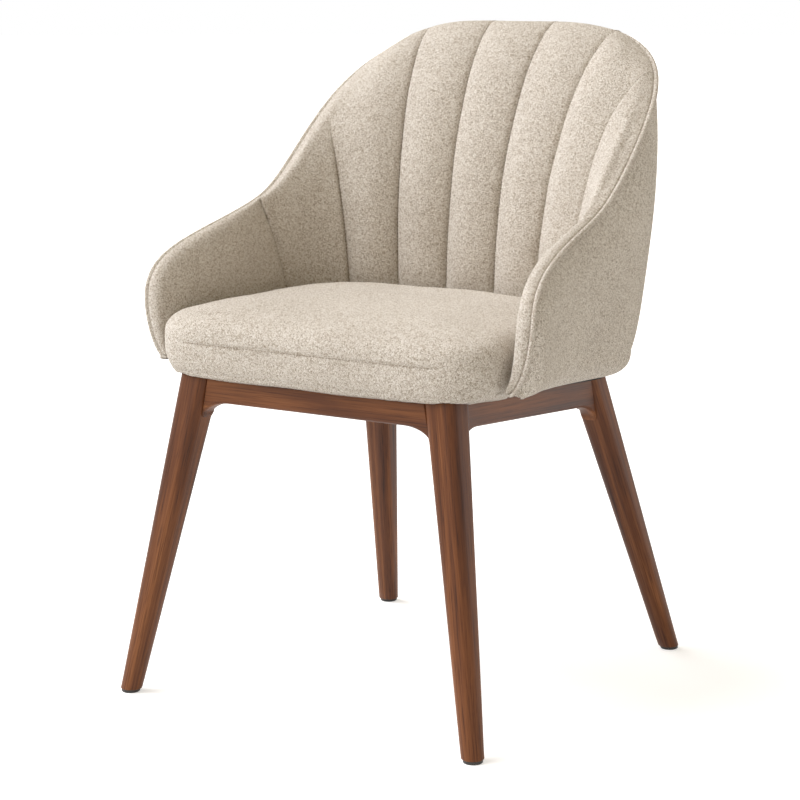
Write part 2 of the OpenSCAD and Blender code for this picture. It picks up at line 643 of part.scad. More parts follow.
// One face of the core, d outward from its middle surface
function core_side(s, d) = let(e = flange_edge(s)) concat(
    [for (k = [2:wall_rows + 1]) inside(s, wall_z(s, k), outer_t + core_t / 2 - d)],
    [for (a = bend_angles) bend_at(s, a, bend_r + d)],
    [[e[0], e[1], frame_z(e[1], dust_t + core_t / 2 - d)]]);
module shell_core() {
    color("#c59b67") difference() {
        skin([for (s = both_ways(core_columns)) let(a = abs(s))
            [for (p = concat(core_side(a, core_t / 2), reversed(core_side(a, -core_t / 2)))) mirrored(s, p)]],
            strips = wall_rows + len(bend_angles));
        seat_bolt_holes();
    }
}

// Outer cover: foam and cloth from the piping down round the shell's lower edge
lap_angles = [0, 30, 58, 75];
lap_end = 84;
lap_shares = [0, 0.42, 0.8, 0.97, 1];
function cover_z(s, k) = k <= wall_rows + 2 ? wall_z(s, k)
    : mix(wall_z(s, wall_rows + 2), underside(s)[2], lap_shares[k - wall_rows - 2]);
function cover_outer(s) = [for (k = [0:wall_rows + 6]) outer_at(s, outer_q(s, cover_z(s, k)))];
function cover_inner(s) = s > s_core
    ? [for (k = [0:wall_rows + 6]) inside(s, cover_z(s, k), cover_depth(s, cover_z(s, k)))]
    : concat([for (k = [0:wall_rows + 1]) inside(s, wall_z(s, k), cover_depth(s, wall_z(s, k)))],
        [for (a = lap_angles) bend_at(s, a, bend_r + core_t / 2 + soft_gap)],
        [let(p = bend_at(s, lap_end, bend_r + core_t / 2)) [p[0], p[1], frame_z(p[1], dust_t)]]);
module outer_cover() {
    color(cloth) skin([for (s = both_ways(cover_columns)) let(a = abs(s))
        [for (p = concat(cover_outer(a), reversed(cover_inner(a)))) mirrored(s, p)]], strips = wall_rows + 6);
}

// Padding: one closed section for each column, from its foot over the roll
channel_steps = 5;
function seam_at(k, v) = k == 0 ? 0 : sign(k) * seam_s(abs(k) - 1, v);
channel_seams = [[-4, -3], [-3, -2], [-2, -1], [-1, 1], [1, 2], [2, 3], [3, 4]];
// The puff of a channel starts above the cushion and fades over the roll
function puffed(s, v, puff) =
    let(fade = ease((v - 0.02) / 0.2) * (v > 1 ? 1 - 0.8 * (v - 1) : 1))
    inner_at(s, v) - outward(s) * puff * fade;
function pad_section(places, puff) = concat(
    [for (i = [0:len(row_v) - 1]) mirrored(places[i], puffed(abs(places[i]), row_v[i], puff))],
    [for (i = [len(row_v) - 1:-1:0]) mirrored(places[i], back_face(abs(places[i]), row_v[i]))]);
function channel_section(pair, f) = pad_section(
    [for (v = row_v) mix(seam_at(pair[0], v), seam_at(pair[1], v), f)],
    channel_depth * (1 - pow(abs(2 * f - 1), 2.4)));
module back_pad() {
    color(cloth) skin(reversed(concat(
        [for (pair = channel_seams) for (i = [0:channel_steps - 1]) channel_section(pair, i / channel_steps)],
        [channel_section([3, 4], 1)])), strips = pad_rows);
}
arm_steps = 6;
nose_steps = 7;
// Share of the arm pad's width at a column, and the column's place at row v
function arm_place(j, v) = j <= arm_steps
    ? mix(seam_at(4, v) + seam_gap, s_core + seam_gap, j / arm_steps)
    : mix(s_core + seam_gap, 2, (j - arm_steps) / nose_steps);
module arm_pad() {
    color(cloth) skin([for (j = [arm_steps + nose_steps:-1:0])
        pad_section([for (v = row_v) arm_place(j, v)], arm_crown * sin(180 * j / (arm_steps + nose_steps)))],
        strips = pad_rows);
}

// Piping: a cord along the rim, resting on the joint of pad and cover
piping_cols = 36;
piping_sides = 8;
module rim_piping() {
    r = piping_d / 2;
    color(cloth) skin([for (j = [-piping_cols:piping_cols])
        let(s = 2 * j / piping_cols, a = abs(s), out = unit(outward(a) + 0.8 * crestward(a)),
            up = unit(cross(unit(rim(min(2, a + 0.01)) - rim(max(0, a - 0.01))), out)), c = rim(a) + out * (r + lap_gap))
        [for (k = [0:piping_sides - 1]) let(t = 360 * k / piping_sides)
            mirrored(s, c + r * (out * cos(t) + up * sin(t)))]]);
}

// Seat cushion: rings from the lip up over the crown
// [share of the height, distance inside the widest outline]
cushion_rings = [[0, 13], [0.04, 8], [0.1, 4.5], [0.2, 1.6], [0.34, 0], [0.47, 1], [0.5, 2.4], [0.53, 1], [0.66, 3],
    [0.78, 9], [0.88, 20], [0.95, 40], [0.985, 75], [1, 120]];
cushion_sides = 44;
cushion_back = 4;
front_n = 7;
// Share of the arms' flare that the cushion's front corners take
cushion_flare = 0.8;
// Fall of the cushion's top to its front edge
front_drop = 6;
front_reach = 200;
function cushion_plan(t, inset) =
    let(w = cushion_w - inset, back = inner_d - channel_depth / 2 - cushion_back - inset,
        front = cushion_front + inner_y - inset,
        p = abs(t) <= 90 ? super_xy(w, back, inner_y, inner_n, t) : super_xy(w, front, inner_y, front_n, t))
    [p[0] + sign(p[0]) * cushion_flare * arm_flare * pow(clamp((inner_y - p[1]) / (arm_front + inner_y)), 2), p[1]];
module cushion_form() {
    skin([for (ring = cushion_rings) [for (k = [0:cushion_sides - 1])
        let(t = 180 - 360 * k / cushion_sides, p = cushion_plan(t, ring[1]), low = frame_z(p[1]) - lip_drop,
            high = frame_h + cushion_h - front_drop * pow(clamp((inner_y - p[1]) / front_reach), 2))
        [p[0], p[1], mix(low, high, ring[0])]]]);
}
module seat_cushion() {
    color(cloth) difference() {
        cushion_form();
        in_frame() translate([0, 0, -back_h]) linear_extrude(back_h + board_top) polygon(concat(
            [[back_h, -spacer_back], [back_h, back_h], [-back_h, back_h], [-back_h, -spacer_back],
             [-board_w - soft_gap, -spacer_back]],
            reversed(plate_front(board_w + soft_gap, board_front + soft_gap)), [[board_w + soft_gap, -spacer_back]]));
    }
}

leg_right(front_foot, front_top, front_set);  // leg_front_right
mirror([1, 0, 0]) leg_right(front_foot, front_top, front_set);  // leg_front_left
leg_right(rear_foot, rear_top, rear_set);  // leg_rear_right
mirror([1, 0, 0]) leg_right(rear_foot, rear_top, rear_set);  // leg_rear_left
apron_cross(front_foot, front_top, front_face, 1, front_mid, front_set);  // apron_front
apron_cross(rear_foot, rear_top, rear_face, -1, rear_mid, rear_set);  // apron_rear
apron_side();  // apron_right
mirror([1, 0, 0]) apron_side();  // apron_left
block_right(front_set);  // block_front_right
mirror([1, 0, 0]) block_right(front_set);  // block_front_left
block_right(rear_set);  // block_rear_right
mirror([1, 0, 0]) block_right(rear_set);  // block_rear_left
apron_dowels();
block_screws();
leg_bolts();
leg_bolt_washers();
leg_bolt_nuts();
glide_pads();
glide_nails();
dust_cover();
shell_core();
front_spacer();
seat_board();
seat_bolts();
seat_washers();
t_nuts();
seat_cushion();
back_pad();
arm_pad();  // arm_pad_right
mirror([1, 0, 0]) arm_pad();  // arm_pad_left
outer_cover();
rim_piping();
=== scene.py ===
"""Upholstered dining armchair: a channelled tub on a walnut base, finished round its CAD frame."""
import math
import bmesh
import bpy
import numpy as np
from mathutils import Matrix, Vector, noise


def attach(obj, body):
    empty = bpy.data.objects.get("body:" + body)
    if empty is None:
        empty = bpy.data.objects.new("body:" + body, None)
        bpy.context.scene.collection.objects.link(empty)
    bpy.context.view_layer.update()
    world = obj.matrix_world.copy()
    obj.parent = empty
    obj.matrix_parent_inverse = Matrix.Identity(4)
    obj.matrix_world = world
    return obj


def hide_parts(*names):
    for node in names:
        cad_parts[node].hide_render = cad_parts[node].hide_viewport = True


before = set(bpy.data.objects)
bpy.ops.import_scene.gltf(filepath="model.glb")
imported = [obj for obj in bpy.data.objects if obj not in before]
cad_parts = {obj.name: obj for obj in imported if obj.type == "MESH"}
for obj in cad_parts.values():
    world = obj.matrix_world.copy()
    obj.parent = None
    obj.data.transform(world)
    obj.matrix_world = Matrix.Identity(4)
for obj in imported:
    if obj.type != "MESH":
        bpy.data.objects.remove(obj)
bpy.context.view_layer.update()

# The photograph's view: a long lens, to the right of the chair's front and a
# little above the seat. The picture is square.
VIEW_AZIMUTH = math.radians(33.3)
VIEW_ELEVATION = math.radians(10.2)
VIEW_TARGET = Vector((-0.0183, -0.0120, 0.3507))
VIEW_DISTANCE = 2.9967
VIEW_LENS = 107.74
SENSOR = 36.0

away = Vector((-math.sin(VIEW_AZIMUTH) * math.cos(VIEW_ELEVATION),
               math.cos(VIEW_AZIMUTH) * math.cos(VIEW_ELEVATION), -math.sin(VIEW_ELEVATION)))
camera_data = bpy.data.cameras.new("photo_view")
camera_data.lens = VIEW_LENS
camera_data.sensor_width = SENSOR
camera = bpy.data.objects.new("photo_view", camera_data)
camera.location = VIEW_TARGET - away * VIEW_DISTANCE
camera.rotation_euler = away.to_track_quat("-Z", "Y").to_euler()
bpy.context.scene.collection.objects.link(camera)
bpy.context.scene.camera = camera


# Four legs, turned and shaped from solid walnut: round at the foot, a rounded
# square where the aprons meet them, splayed outward and cut off under the seat.
# They are oiled to a satin finish, and dowelled to the aprons.
FRAME_TOP = 0.390
FRAME_FALL = math.tan(math.radians(4.3))
LEG_WIDTH = 0.041
LEG_CORNER = 0.011
FOOT_WIDTH = 0.0265
FOOT_EASING = 0.0009
GLIDE_HEIGHT = 0.004
LEG_ENDS = {"front": ((0.249, -0.269), (0.177, -0.212)), "rear": ((0.222, 0.269), (0.156, 0.144))}
LEG_LEVELS = 30
CORNER_STEPS = 9
WALNUT_TONES = [(0.0, (0.060, 0.016, 0.004)), (0.38, (0.122, 0.038, 0.011)),
                (0.62, (0.190, 0.066, 0.021)), (1.0, (0.300, 0.118, 0.042))]
WOOD_SHINE = 0.28
ROUGHNESS_SPREAD = (-0.05, 0.09)
FIGURE_NOISE = {"Detail": 5.0, "Roughness": 0.55, "Distortion": 1.6}
TONE_RANGE = (0.26, 0.76)
DRIFT_NOISE = {"Scale": 5.0, "Detail": 1.0}
DRIFT_TONE = 0.30
PORE_NOISE = {"Scale": 620.0, "Detail": 3.0, "Roughness": 0.7}
PORE_STRETCH = 0.018
PORE_TONE = 0.34
PORE_STOPS = [(0.34, (0.45, 0.42, 0.40)), (0.45, (1, 1, 1))]
PORE_SHARE = 0.7
PORE_RELIEF = (0.16, 0.0004)


def mix(a, b, t):
    """From a, where t is 0, to b, where t is 1."""
    return a + (b - a) * t


def frame_z(y, above=0.0):
    """Height of a plane parallel to the frame's sloping top."""
    return FRAME_TOP - FRAME_FALL * y + above / math.cos(math.atan(FRAME_FALL))


def ring_faces(rings, points):
    """Quads between rings of equally many points, and a flat face over each end."""
    quads = [(i * points + j, i * points + (j + 1) % points,
              (i + 1) * points + (j + 1) % points, (i + 1) * points + j)
             for i in range(rings - 1) for j in range(points)]
    last = (rings - 1) * points
    return quads + [tuple(range(points - 1, -1, -1)), tuple(range(last, last + points))]


def make_piece(name, points, faces, material, origin=(0, 0, 0), grain=(0, 0, 1), sharp=35.0):
    """A closed mesh in the chair's frame, with its own Z axis along the grain."""
    axes = Vector(grain).normalized().to_track_quat("Z", "Y").to_matrix().to_4x4()
    place = Matrix.Translation(Vector(origin)) @ axes
    local = np.array(place.inverted())
    points = np.asarray(points, dtype=float).reshape(-1, 3) @ local[:3, :3].T + local[:3, 3]
    mesh = bpy.data.meshes.new(name)
    mesh.from_pydata(points.tolist(), [], faces)
    shell = bmesh.new()
    shell.from_mesh(mesh)
    bmesh.ops.recalc_face_normals(shell, faces=shell.faces)
    shell.to_mesh(mesh)
    shell.free()
    mesh.shade_smooth()
    mesh.set_sharp_from_angle(angle=math.radians(sharp))
    mesh.materials.append(material)
    piece = bpy.data.objects.new(name, mesh)
    piece.matrix_world = place
    bpy.context.scene.collection.objects.link(piece)
    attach(piece, "root")
    return piece


def new_material(name):
    """An empty node material with its shader and its object coordinates."""
    material = bpy.data.materials.new(name)
    material.use_nodes = True
    tree = material.node_tree
    shader = tree.nodes["Principled BSDF"]
    coordinates = tree.nodes.new("ShaderNodeTexCoord").outputs["Object"]
    return material, tree, shader, coordinates


def set_socket(tree, socket, value):
    """Links a socket to another one, or gives it a value."""
    if isinstance(value, bpy.types.NodeSocket):
        tree.links.new(value, socket)
    else:
        socket.default_value = value


def fill(tree, node, **sockets):
    """A node with its sockets set by their names."""
    for key, value in sockets.items():
        set_socket(tree, node.inputs[key.replace("_", " ")], value)
    return node


def add_node(tree, kind, choices=None, **sockets):
    """A new node with its choices made and its sockets set."""
    made = tree.nodes.new(kind)
    for key, value in (choices or {}).items():
        setattr(made, key, value)
    return fill(tree, made, **sockets)


def add_math(tree, operation, *values):
    """A value worked out from others."""
    made = add_node(tree, "ShaderNodeMath", {"operation": operation})
    for socket, value in zip(made.inputs, values):
        set_socket(tree, socket, value)
    return made.outputs[0]


def add_noise(tree, at, **form):
    """A cloudy value at the coordinates."""
    return add_node(tree, "ShaderNodeTexNoise", Vector=at, **form).outputs["Fac"]


def add_mapping(tree, at, **change):
    """Coordinates turned or stretched."""
    return add_node(tree, "ShaderNodeMapping", Vector=at, **change).outputs[0]


def add_range(tree, value, low, high):
    """A value between 0 and 1, brought between low and high."""
    return add_node(tree, "ShaderNodeMapRange", Value=value, To_Min=low, To_Max=high).outputs[0]


def add_tint(tree, share, colour, tint):
    """A colour multiplied by another one, by a share."""
    return add_node(tree, "ShaderNodeMixRGB", {"blend_type": "MULTIPLY"}, Fac=share, Color1=colour,
                    Color2=tint).outputs[0]


def add_relief(tree, shader, height, strength, depth):
    """The fine rises and hollows of a finish."""
    made = add_node(tree, "ShaderNodeBump", Height=height, Strength=strength, Distance=depth)
    tree.links.new(made.outputs[0], shader.inputs["Normal"])


def add_ramp(tree, factor, stops):
    """A colour ramp through the stops, each a place and a linear colour."""
    made = add_node(tree, "ShaderNodeValToRGB", Fac=factor)
    bands = made.color_ramp.elements
    while len(bands) < len(stops):
        bands.new(0.5)
    for band, (place, colour) in zip(bands, stops):
        band.position = place
        band.color = (*colour, 1.0)
    return made.outputs["Color"]


def make_timber(name, tones, turn=(0, 0, 0), stretch=0.045, figure=34.0, roughness=0.46):
    """Wood: long soft figure, fine dark pores along the grain, slow changes of tone."""
    material, tree, shader, coordinates = new_material(name)
    turned = add_mapping(tree, coordinates, Rotation=turn)
    bands = add_noise(tree, add_mapping(tree, turned, Scale=(1, 1, stretch)), Scale=figure, **FIGURE_NOISE)
    fibres = add_noise(tree, add_mapping(tree, turned, Scale=(1, 1, PORE_STRETCH)), **PORE_NOISE)
    grain = add_math(tree, "MULTIPLY_ADD", fibres, PORE_TONE, -PORE_TONE / 2)
    drift = add_noise(tree, turned, **DRIFT_NOISE)
    slow = add_math(tree, "MULTIPLY_ADD", drift, DRIFT_TONE, -DRIFT_TONE / 2)
    tone = add_math(tree, "ADD", bands, add_math(tree, "ADD", grain, slow))
    colour = add_ramp(tree, tone, [(mix(*TONE_RANGE, place), shade) for place, shade in tones])
    pored = add_tint(tree, PORE_SHARE, colour, add_ramp(tree, fibres, PORE_STOPS))
    rough = add_range(tree, bands, *(roughness + part for part in ROUGHNESS_SPREAD))
    fill(tree, shader, Base_Color=pored, Roughness=rough, Specular_IOR_Level=WOOD_SHINE)
    add_relief(tree, shader, fibres, *PORE_RELIEF)
    return material


def leg_outline(foot, top, z):
    """Points round a leg at the heights z, one for each point of the outline."""
    steps = [(side, step / CORNER_STEPS) for side in range(4) for step in range(CORNER_STEPS + 1)]
    corner = np.array([((1, 1), (-1, 1), (-1, -1), (1, -1))[side] for side, _ in steps])
    angle = np.array([(side + share) * math.pi / 2 for side, share in steps])
    share = z / FRAME_TOP
    radius = mix(FOOT_WIDTH / 2, LEG_CORNER, share)[:, None]
    half = mix(FOOT_WIDTH, LEG_WIDTH, share)[:, None] / 2
    axis = mix(np.array(foot), np.array(top), share[:, None])
    plan = axis + corner * (half - radius) + radius * np.stack([np.cos(angle), np.sin(angle)], axis=1)
    return np.concatenate([plan, z[:, None]], axis=1)


walnut = make_timber("walnut", WALNUT_TONES)
for end, (foot, top) in LEG_ENDS.items():
    for side, sign in (("right", 1), ("left", -1)):
        foot_at = np.array([sign * foot[0], foot[1]])
        top_at = np.array([sign * top[0], top[1]])
        flat = np.zeros(4 * (CORNER_STEPS + 1))
        # the heights at which the leg's lines meet the frame's sloping top
        low_y = leg_outline(foot_at, top_at, flat)[:, 1]
        high_y = leg_outline(foot_at, top_at, flat + FRAME_TOP)[:, 1]
        cut = (FRAME_TOP - FRAME_FALL * low_y) / (1 + FRAME_FALL * (high_y - low_y) / FRAME_TOP)
        rings = [leg_outline(foot_at, top_at, mix(GLIDE_HEIGHT, cut, level))
                 for level in np.linspace(0, 1, LEG_LEVELS)]
        eased = rings[0].copy()
        centre = rings[0][:, :2].mean(axis=0)
        eased[:, :2] = centre + (rings[0][:, :2] - centre) * (1 - 2 * FOOT_EASING / FOOT_WIDTH)
        rings[0] = rings[0] + [0, 0, FOOT_EASING]
        rings = [eased] + rings
        leg = make_piece(f"{end}_leg_{side}", rings, ring_faces(len(rings), len(flat)), walnut,
                         origin=(*foot_at, 0), grain=(*(top_at - foot_at), FRAME_TOP))
        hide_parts(f"leg_{end}_{side}")


# Four aprons of the same walnut, sawn so that each end runs down into its leg
# in a curve. Their lower edges are rounded over, and each end is dowelled to its
# leg and eased a little, so that a fine dark line shows at the joint.
APRON_HEIGHT = 0.040
APRON_THICKNESS = 0.022
APRON_SETBACK = 0.006
APRON_ROUND = 0.005
HORN_LENGTH = 0.034
HORN_HEIGHT = 0.020
REAR_HORN_HEIGHT = 0.008
HORN_STEPS = 14
ROUND_STEPS = 6
JOINT_EASING = 0.0009


def leg_half(z):
    """Half of a leg's width at height z."""
    return mix(FOOT_WIDTH, LEG_WIDTH, z / FRAME_TOP) / 2


def leg_axis(end, z):
    """The middle of a right-hand leg at height z."""
    foot, top = LEG_ENDS[end]
    return mix(np.array(foot), np.array(top), z / FRAME_TOP)


def apron_outline(depth, easing):
    """Points round an apron: distance behind its face, and depth below the frame's top."""
    turn = np.linspace(0, math.pi / 2, ROUND_STEPS)
    inset = APRON_ROUND * (1 - np.cos(turn))
    drop = depth - APRON_ROUND * (1 - np.sin(turn))
    behind = np.concatenate([[0], inset, APRON_THICKNESS - inset[::-1], [APRON_THICKNESS]])
    below = np.concatenate([[0], drop, drop[::-1], [0]])
    middle = APRON_THICKNESS / 2
    behind = middle + (behind - middle) * (1 - easing / middle)
    return np.stack([behind, below - easing * (below > 0)], axis=1)


def apron_stations(length, horn_height):
    """Places along an apron, with the depth of its lower edge and the easing of its end."""
    turn = np.linspace(0, math.pi / 2, HORN_STEPS)
    along = HORN_LENGTH * (1 - np.cos(turn))
    depth = APRON_HEIGHT + horn_height * (1 - np.sin(turn))
    ends = [(0.0, depth[0], JOINT_EASING), (JOINT_EASING, depth[0], 0.0)]
    half = ends + [(max(a, 2 * JOINT_EASING), d, 0.0) for a, d in zip(along[1:], depth[1:])]
    return half + [(length - a, d, e) for a, d, e in half[::-1]]


front_mid = frame_z(LEG_ENDS["front"][1][1]) - APRON_HEIGHT / 2
rear_mid = frame_z(LEG_ENDS["rear"][1][1]) - APRON_HEIGHT / 2
front_axis = leg_axis("front", front_mid)
rear_axis = leg_axis("rear", rear_mid)
front_face = front_axis[1] - leg_half(front_mid) + APRON_SETBACK
rear_face = rear_axis[1] + leg_half(rear_mid) - APRON_SETBACK
for end, face, inward, mid, horn in (("front", front_face, 1, front_mid, HORN_HEIGHT),
                                     ("rear", rear_face, -1, rear_mid, REAR_HORN_HEIGHT)):
    length = 2 * (leg_axis(end, mid)[0] - leg_half(mid))
    rings = []
    for along, depth, easing in apron_stations(length, horn):
        ring = []
        for behind, below in apron_outline(depth, easing):
            y = face + inward * behind
            z = frame_z(y) - below
            ring.append((mix(-1, 1, along / length) * (leg_axis(end, z)[0] - leg_half(z)), y, z))
        rings.append(ring)
    apron = make_piece(f"{end}_apron", rings, ring_faces(len(rings), len(rings[0])), walnut,
                       origin=(0, face, mid), grain=(1, 0, 0))
    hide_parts(f"apron_{end}")

side_front_x = front_axis[0] + leg_half(front_mid) - APRON_SETBACK
side_rear_x = rear_axis[0] + leg_half(rear_mid) - APRON_SETBACK
side_fall = (side_front_x - side_rear_x) / (rear_axis[1] - front_axis[1])


def side_limits(z):
    """The front leg's rear face and the rear leg's front face at height z."""
    return leg_axis("front", z)[1] + leg_half(z), leg_axis("rear", z)[1] - leg_half(z)


side_length = side_limits(rear_mid)[1] - side_limits(front_mid)[0]
for side, sign in (("right", 1), ("left", -1)):
    rings = []
    for along, depth, easing in apron_stations(side_length, HORN_HEIGHT):
        share = along / side_length
        ring = []
        for behind, below in apron_outline(depth, easing):
            floor_y = mix(*side_limits(0.0), share)
            top_y = mix(*side_limits(FRAME_TOP), share)
            lean = FRAME_FALL * (top_y - floor_y) / FRAME_TOP
            z = (FRAME_TOP - FRAME_FALL * floor_y - below) / (1 + lean)
            y = mix(*side_limits(z), share)
            ring.append((sign * (side_front_x - side_fall * (y - front_axis[1]) - behind), y, z))
        rings.append(ring)
    apron = make_piece(f"side_apron_{side}", rings, ring_faces(len(rings), len(rings[0])), walnut,
                       origin=(sign * side_front_x, front_axis[1], front_mid),
                       grain=(-sign * side_fall, 1, -FRAME_FALL))
    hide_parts(f"apron_{side}")


# Corner blocks and dowels of beech, sawn and left unfinished. The blocks are
# screwed to the aprons, and a bolt draws each leg against its block.
BEECH_TONES = [(0.0, (0.330, 0.180, 0.090)), (0.5, (0.460, 0.275, 0.150)), (1.0, (0.590, 0.390, 0.235))]


def dress(material, *nodes):
    """Gives CAD nodes a finish."""
    for name in nodes:
        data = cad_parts[name].data
        if not data.materials:
            data.materials.append(material)
        for index in range(len(data.materials)):
            data.materials[index] = material
        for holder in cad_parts[name].material_slots:
            holder.material = material


beech = make_timber("beech", BEECH_TONES, turn=(0, math.pi / 2, 0), stretch=0.12, figure=90.0,
                    roughness=0.62)
dress(beech, "block_front_right", "block_front_left", "block_rear_right", "block_rear_left", "apron_dowels")


# Bolts, screws, washers, nuts and nails of mild steel, plated with bright zinc
# that has dulled a little. They hold legs, blocks, shell, seat board and glides.
ZINC_TONES = [(0.3, (0.40, 0.41, 0.44)), (0.7, (0.62, 0.63, 0.66))]
ZINC_CLOUDS = {"Scale": 160.0, "Detail": 4.0}
ZINC_ROUGHNESS = (0.28, 0.46)
SCRATCHES = {"Scale": 1800.0, "Detail": 2.0}
SCRATCH_RELIEF = (0.1, 0.0002)

zinc, tree, shader, coordinates = new_material("zinc_steel")
clouds = add_noise(tree, coordinates, **ZINC_CLOUDS)
fill(tree, shader, Base_Color=add_ramp(tree, clouds, ZINC_TONES), Metallic=1.0,
     Roughness=add_range(tree, clouds, *ZINC_ROUGHNESS))
add_relief(tree, shader, add_noise(tree, coordinates, **SCRATCHES), *SCRATCH_RELIEF)
dress(zinc, "block_screws", "leg_bolts", "leg_bolt_washers", "leg_bolt_nuts", "glide_nails", "seat_bolts",
      "seat_washers", "t_nuts")


# Floor glides: dark moulded plastic pads, one nailed under each foot, with the
# fine grain of their mould.
PLASTIC_TONES = [(0.4, (0.018, 0.014, 0.011)), (0.75, (0.050, 0.042, 0.036))]
PLASTIC_ROUGHNESS = 0.5
MOULD_GRAIN = {"Scale": 900.0, "Detail": 3.0}
MOULD_RELIEF = (0.25, 0.0003)

plastic, tree, shader, coordinates = new_material("glide_plastic")
specks = add_noise(tree, coordinates, **MOULD_GRAIN)
fill(tree, shader, Base_Color=add_ramp(tree, specks, PLASTIC_TONES), Roughness=PLASTIC_ROUGHNESS)
add_relief(tree, shader, specks, *MOULD_RELIEF)
dress(plastic, "glide_pads")


# Dust cover: thin black nonwoven cloth, cut to the shell's underside, pulled
# flat and stapled round its edge, so that it sags a little between the aprons.
DUST_THICKNESS = 0.0007
DUST_LIFT = 0.0001
DUST_SAG = 0.0016
DUST_UNEVEN = 0.5
DUST_WAVES = (0.045, 0.052)
DUST_ROWS = 26
DUST_TONES = [(0.35, (0.011, 0.010, 0.009)), (0.65, (0.034, 0.032, 0.029))]
DUST_ROUGHNESS = 0.9
DUST_RELIEF = (0.35, 0.0004)
DUST_FIBRES = {"Scale": 700.0, "Detail": 4.0, "Distortion": 2.5}
WELD_SCALE = 520.0
WELD_DEPTH = 0.8
OUTLINE_STEP = math.radians(1.0)
OUTER_PART = 0.5
STAPLE_PITCH = 0.034
STAPLE_SIZE = (0.0100, 0.0011, 0.0006)
STAPLE_BEND = 0.8
STAPLE_DROP = 0.5
STAPLE_INSET = 0.006

nonwoven, tree, shader, coordinates = new_material("dust_cloth")
fibre = add_noise(tree, coordinates, **DUST_FIBRES)
weld = add_node(tree, "ShaderNodeTexVoronoi", Vector=coordinates, Scale=WELD_SCALE).outputs["Distance"]
fill(tree, shader, Base_Color=add_ramp(tree, fibre, DUST_TONES), Roughness=DUST_ROUGHNESS)
add_relief(tree, shader, add_math(tree, "MULTIPLY_ADD", weld, WELD_DEPTH, fibre), *DUST_RELIEF)


def outline_of(node):
    """The outline of a flat CAD node in plan, in order round its middle."""
    plan = np.array([v.co[:2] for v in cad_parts[node].data.vertices])
    middle = (plan.min(axis=0) + plan.max(axis=0)) / 2
    reach = np.linalg.norm(plan - middle, axis=1)
    angle = np.arctan2(*(plan - middle).T[::-1])
    outer = {}
    for point, r, a in zip(plan, reach, angle):
        key = round(a / OUTLINE_STEP)
        if r > OUTER_PART * reach.max() and (key not in outer or r > outer[key][0]):
            outer[key] = (r, a, point)
    return np.array([p for _, _, p in sorted(outer.values(), key=lambda item: item[1])]), middle


outline, middle = outline_of("dust_cover")
count = len(outline)
sheet_points = []
for share in np.linspace(1, 1 / DUST_ROWS, DUST_ROWS):
    plan = middle + (outline - middle) * share
    waves = np.sin(plan[:, 0] / DUST_WAVES[0]) * np.sin(plan[:, 1] / DUST_WAVES[1])
    sag = DUST_SAG * (1 - share ** 4) * (1 + DUST_UNEVEN * waves)
    sheet_points.append(np.column_stack([plan, frame_z(plan[:, 1], DUST_LIFT) - sag]))
# one layer of cloth, so the face over its outer edge goes
sheet_faces = ring_faces(DUST_ROWS, count)
del sheet_faces[-2]
dust_cloth = make_piece("dust_cloth", np.concatenate(sheet_points), sheet_faces, nonwoven)
thicken = dust_cloth.modifiers.new("cloth", "SOLIDIFY")
thicken.thickness = DUST_THICKNESS
width, length = outline.max(axis=0) - outline.min(axis=0)
x, y = outline.T
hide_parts("dust_cover")


def add_staples(name, places):
    """One small bent bar at each place, given as its middle, its length's direction and its upward one."""
    length, width, height = STAPLE_SIZE
    # corners are numbered 8 to a layer and 4 to a row
    corners = [(x, y, z) for z in (-1, 1) for y in (-1, 1) for x in (-1, -STAPLE_BEND, STAPLE_BEND, 1)]
    points, faces = [], []
    for at, along, up in places:
        across = np.cross(up, along)
        base = len(points)
        for x, y, z in corners:
            drop = STAPLE_DROP if abs(x) == 1 else 0.0
            rise = up * (z / 2 - drop) * height
            points.append(at + along * x * length / 2 + across * y * width / 2 + rise)
        for x in range(3):
            a = base + x
            faces += [(a, a + 1, a + 5, a + 4), (a + 8, a + 12, a + 13, a + 9)]
            faces += [(a, a + 8, a + 9, a + 1), (a + 4, a + 5, a + 13, a + 12)]
        faces += [(base, base + 4, base + 12, base + 8), (base + 3, base + 11, base + 15, base + 7)]
    return make_piece(name, points, faces, zinc)


edge = np.roll(outline, -1, axis=0) - outline
run = np.concatenate([[0], np.cumsum(np.linalg.norm(edge, axis=1))])
staple_places = []
for at in np.arange(0, run[-1] - STAPLE_PITCH / 2, STAPLE_PITCH):
    i = min(int(np.searchsorted(run, at, side="right")) - 1, count - 1)
    along = edge[i] / np.linalg.norm(edge[i])
    point = outline[i] + along * (at - run[i])
    inward = (middle - point) / np.linalg.norm(middle - point)
    x, y = point + inward * STAPLE_INSET
    place = np.array([x, y, frame_z(y) - DUST_THICKNESS])
    staple_places.append((place, np.array([*along, -along[1] * FRAME_FALL]), np.array([0, 0, -1.0])))
add_staples("dust_cover_staples", staple_places)


# Moulded shell core, front spacer and seat board: birch plywood, its thin
# layers light and dark by turns. The shell rests on the frame by its flange.
PLY_TONES = [(0.0, (0.300, 0.170, 0.085)), (0.42, (0.480, 0.310, 0.170)), (1.0, (0.640, 0.460, 0.290))]
PLY_LAYERS = 420.0
PLY_WAVER = 0.6
PLY_STOPS = [(0.40, (0.55, 0.50, 0.45)), (0.60, (1, 1, 1))]
PLY_SHARE = 0.35

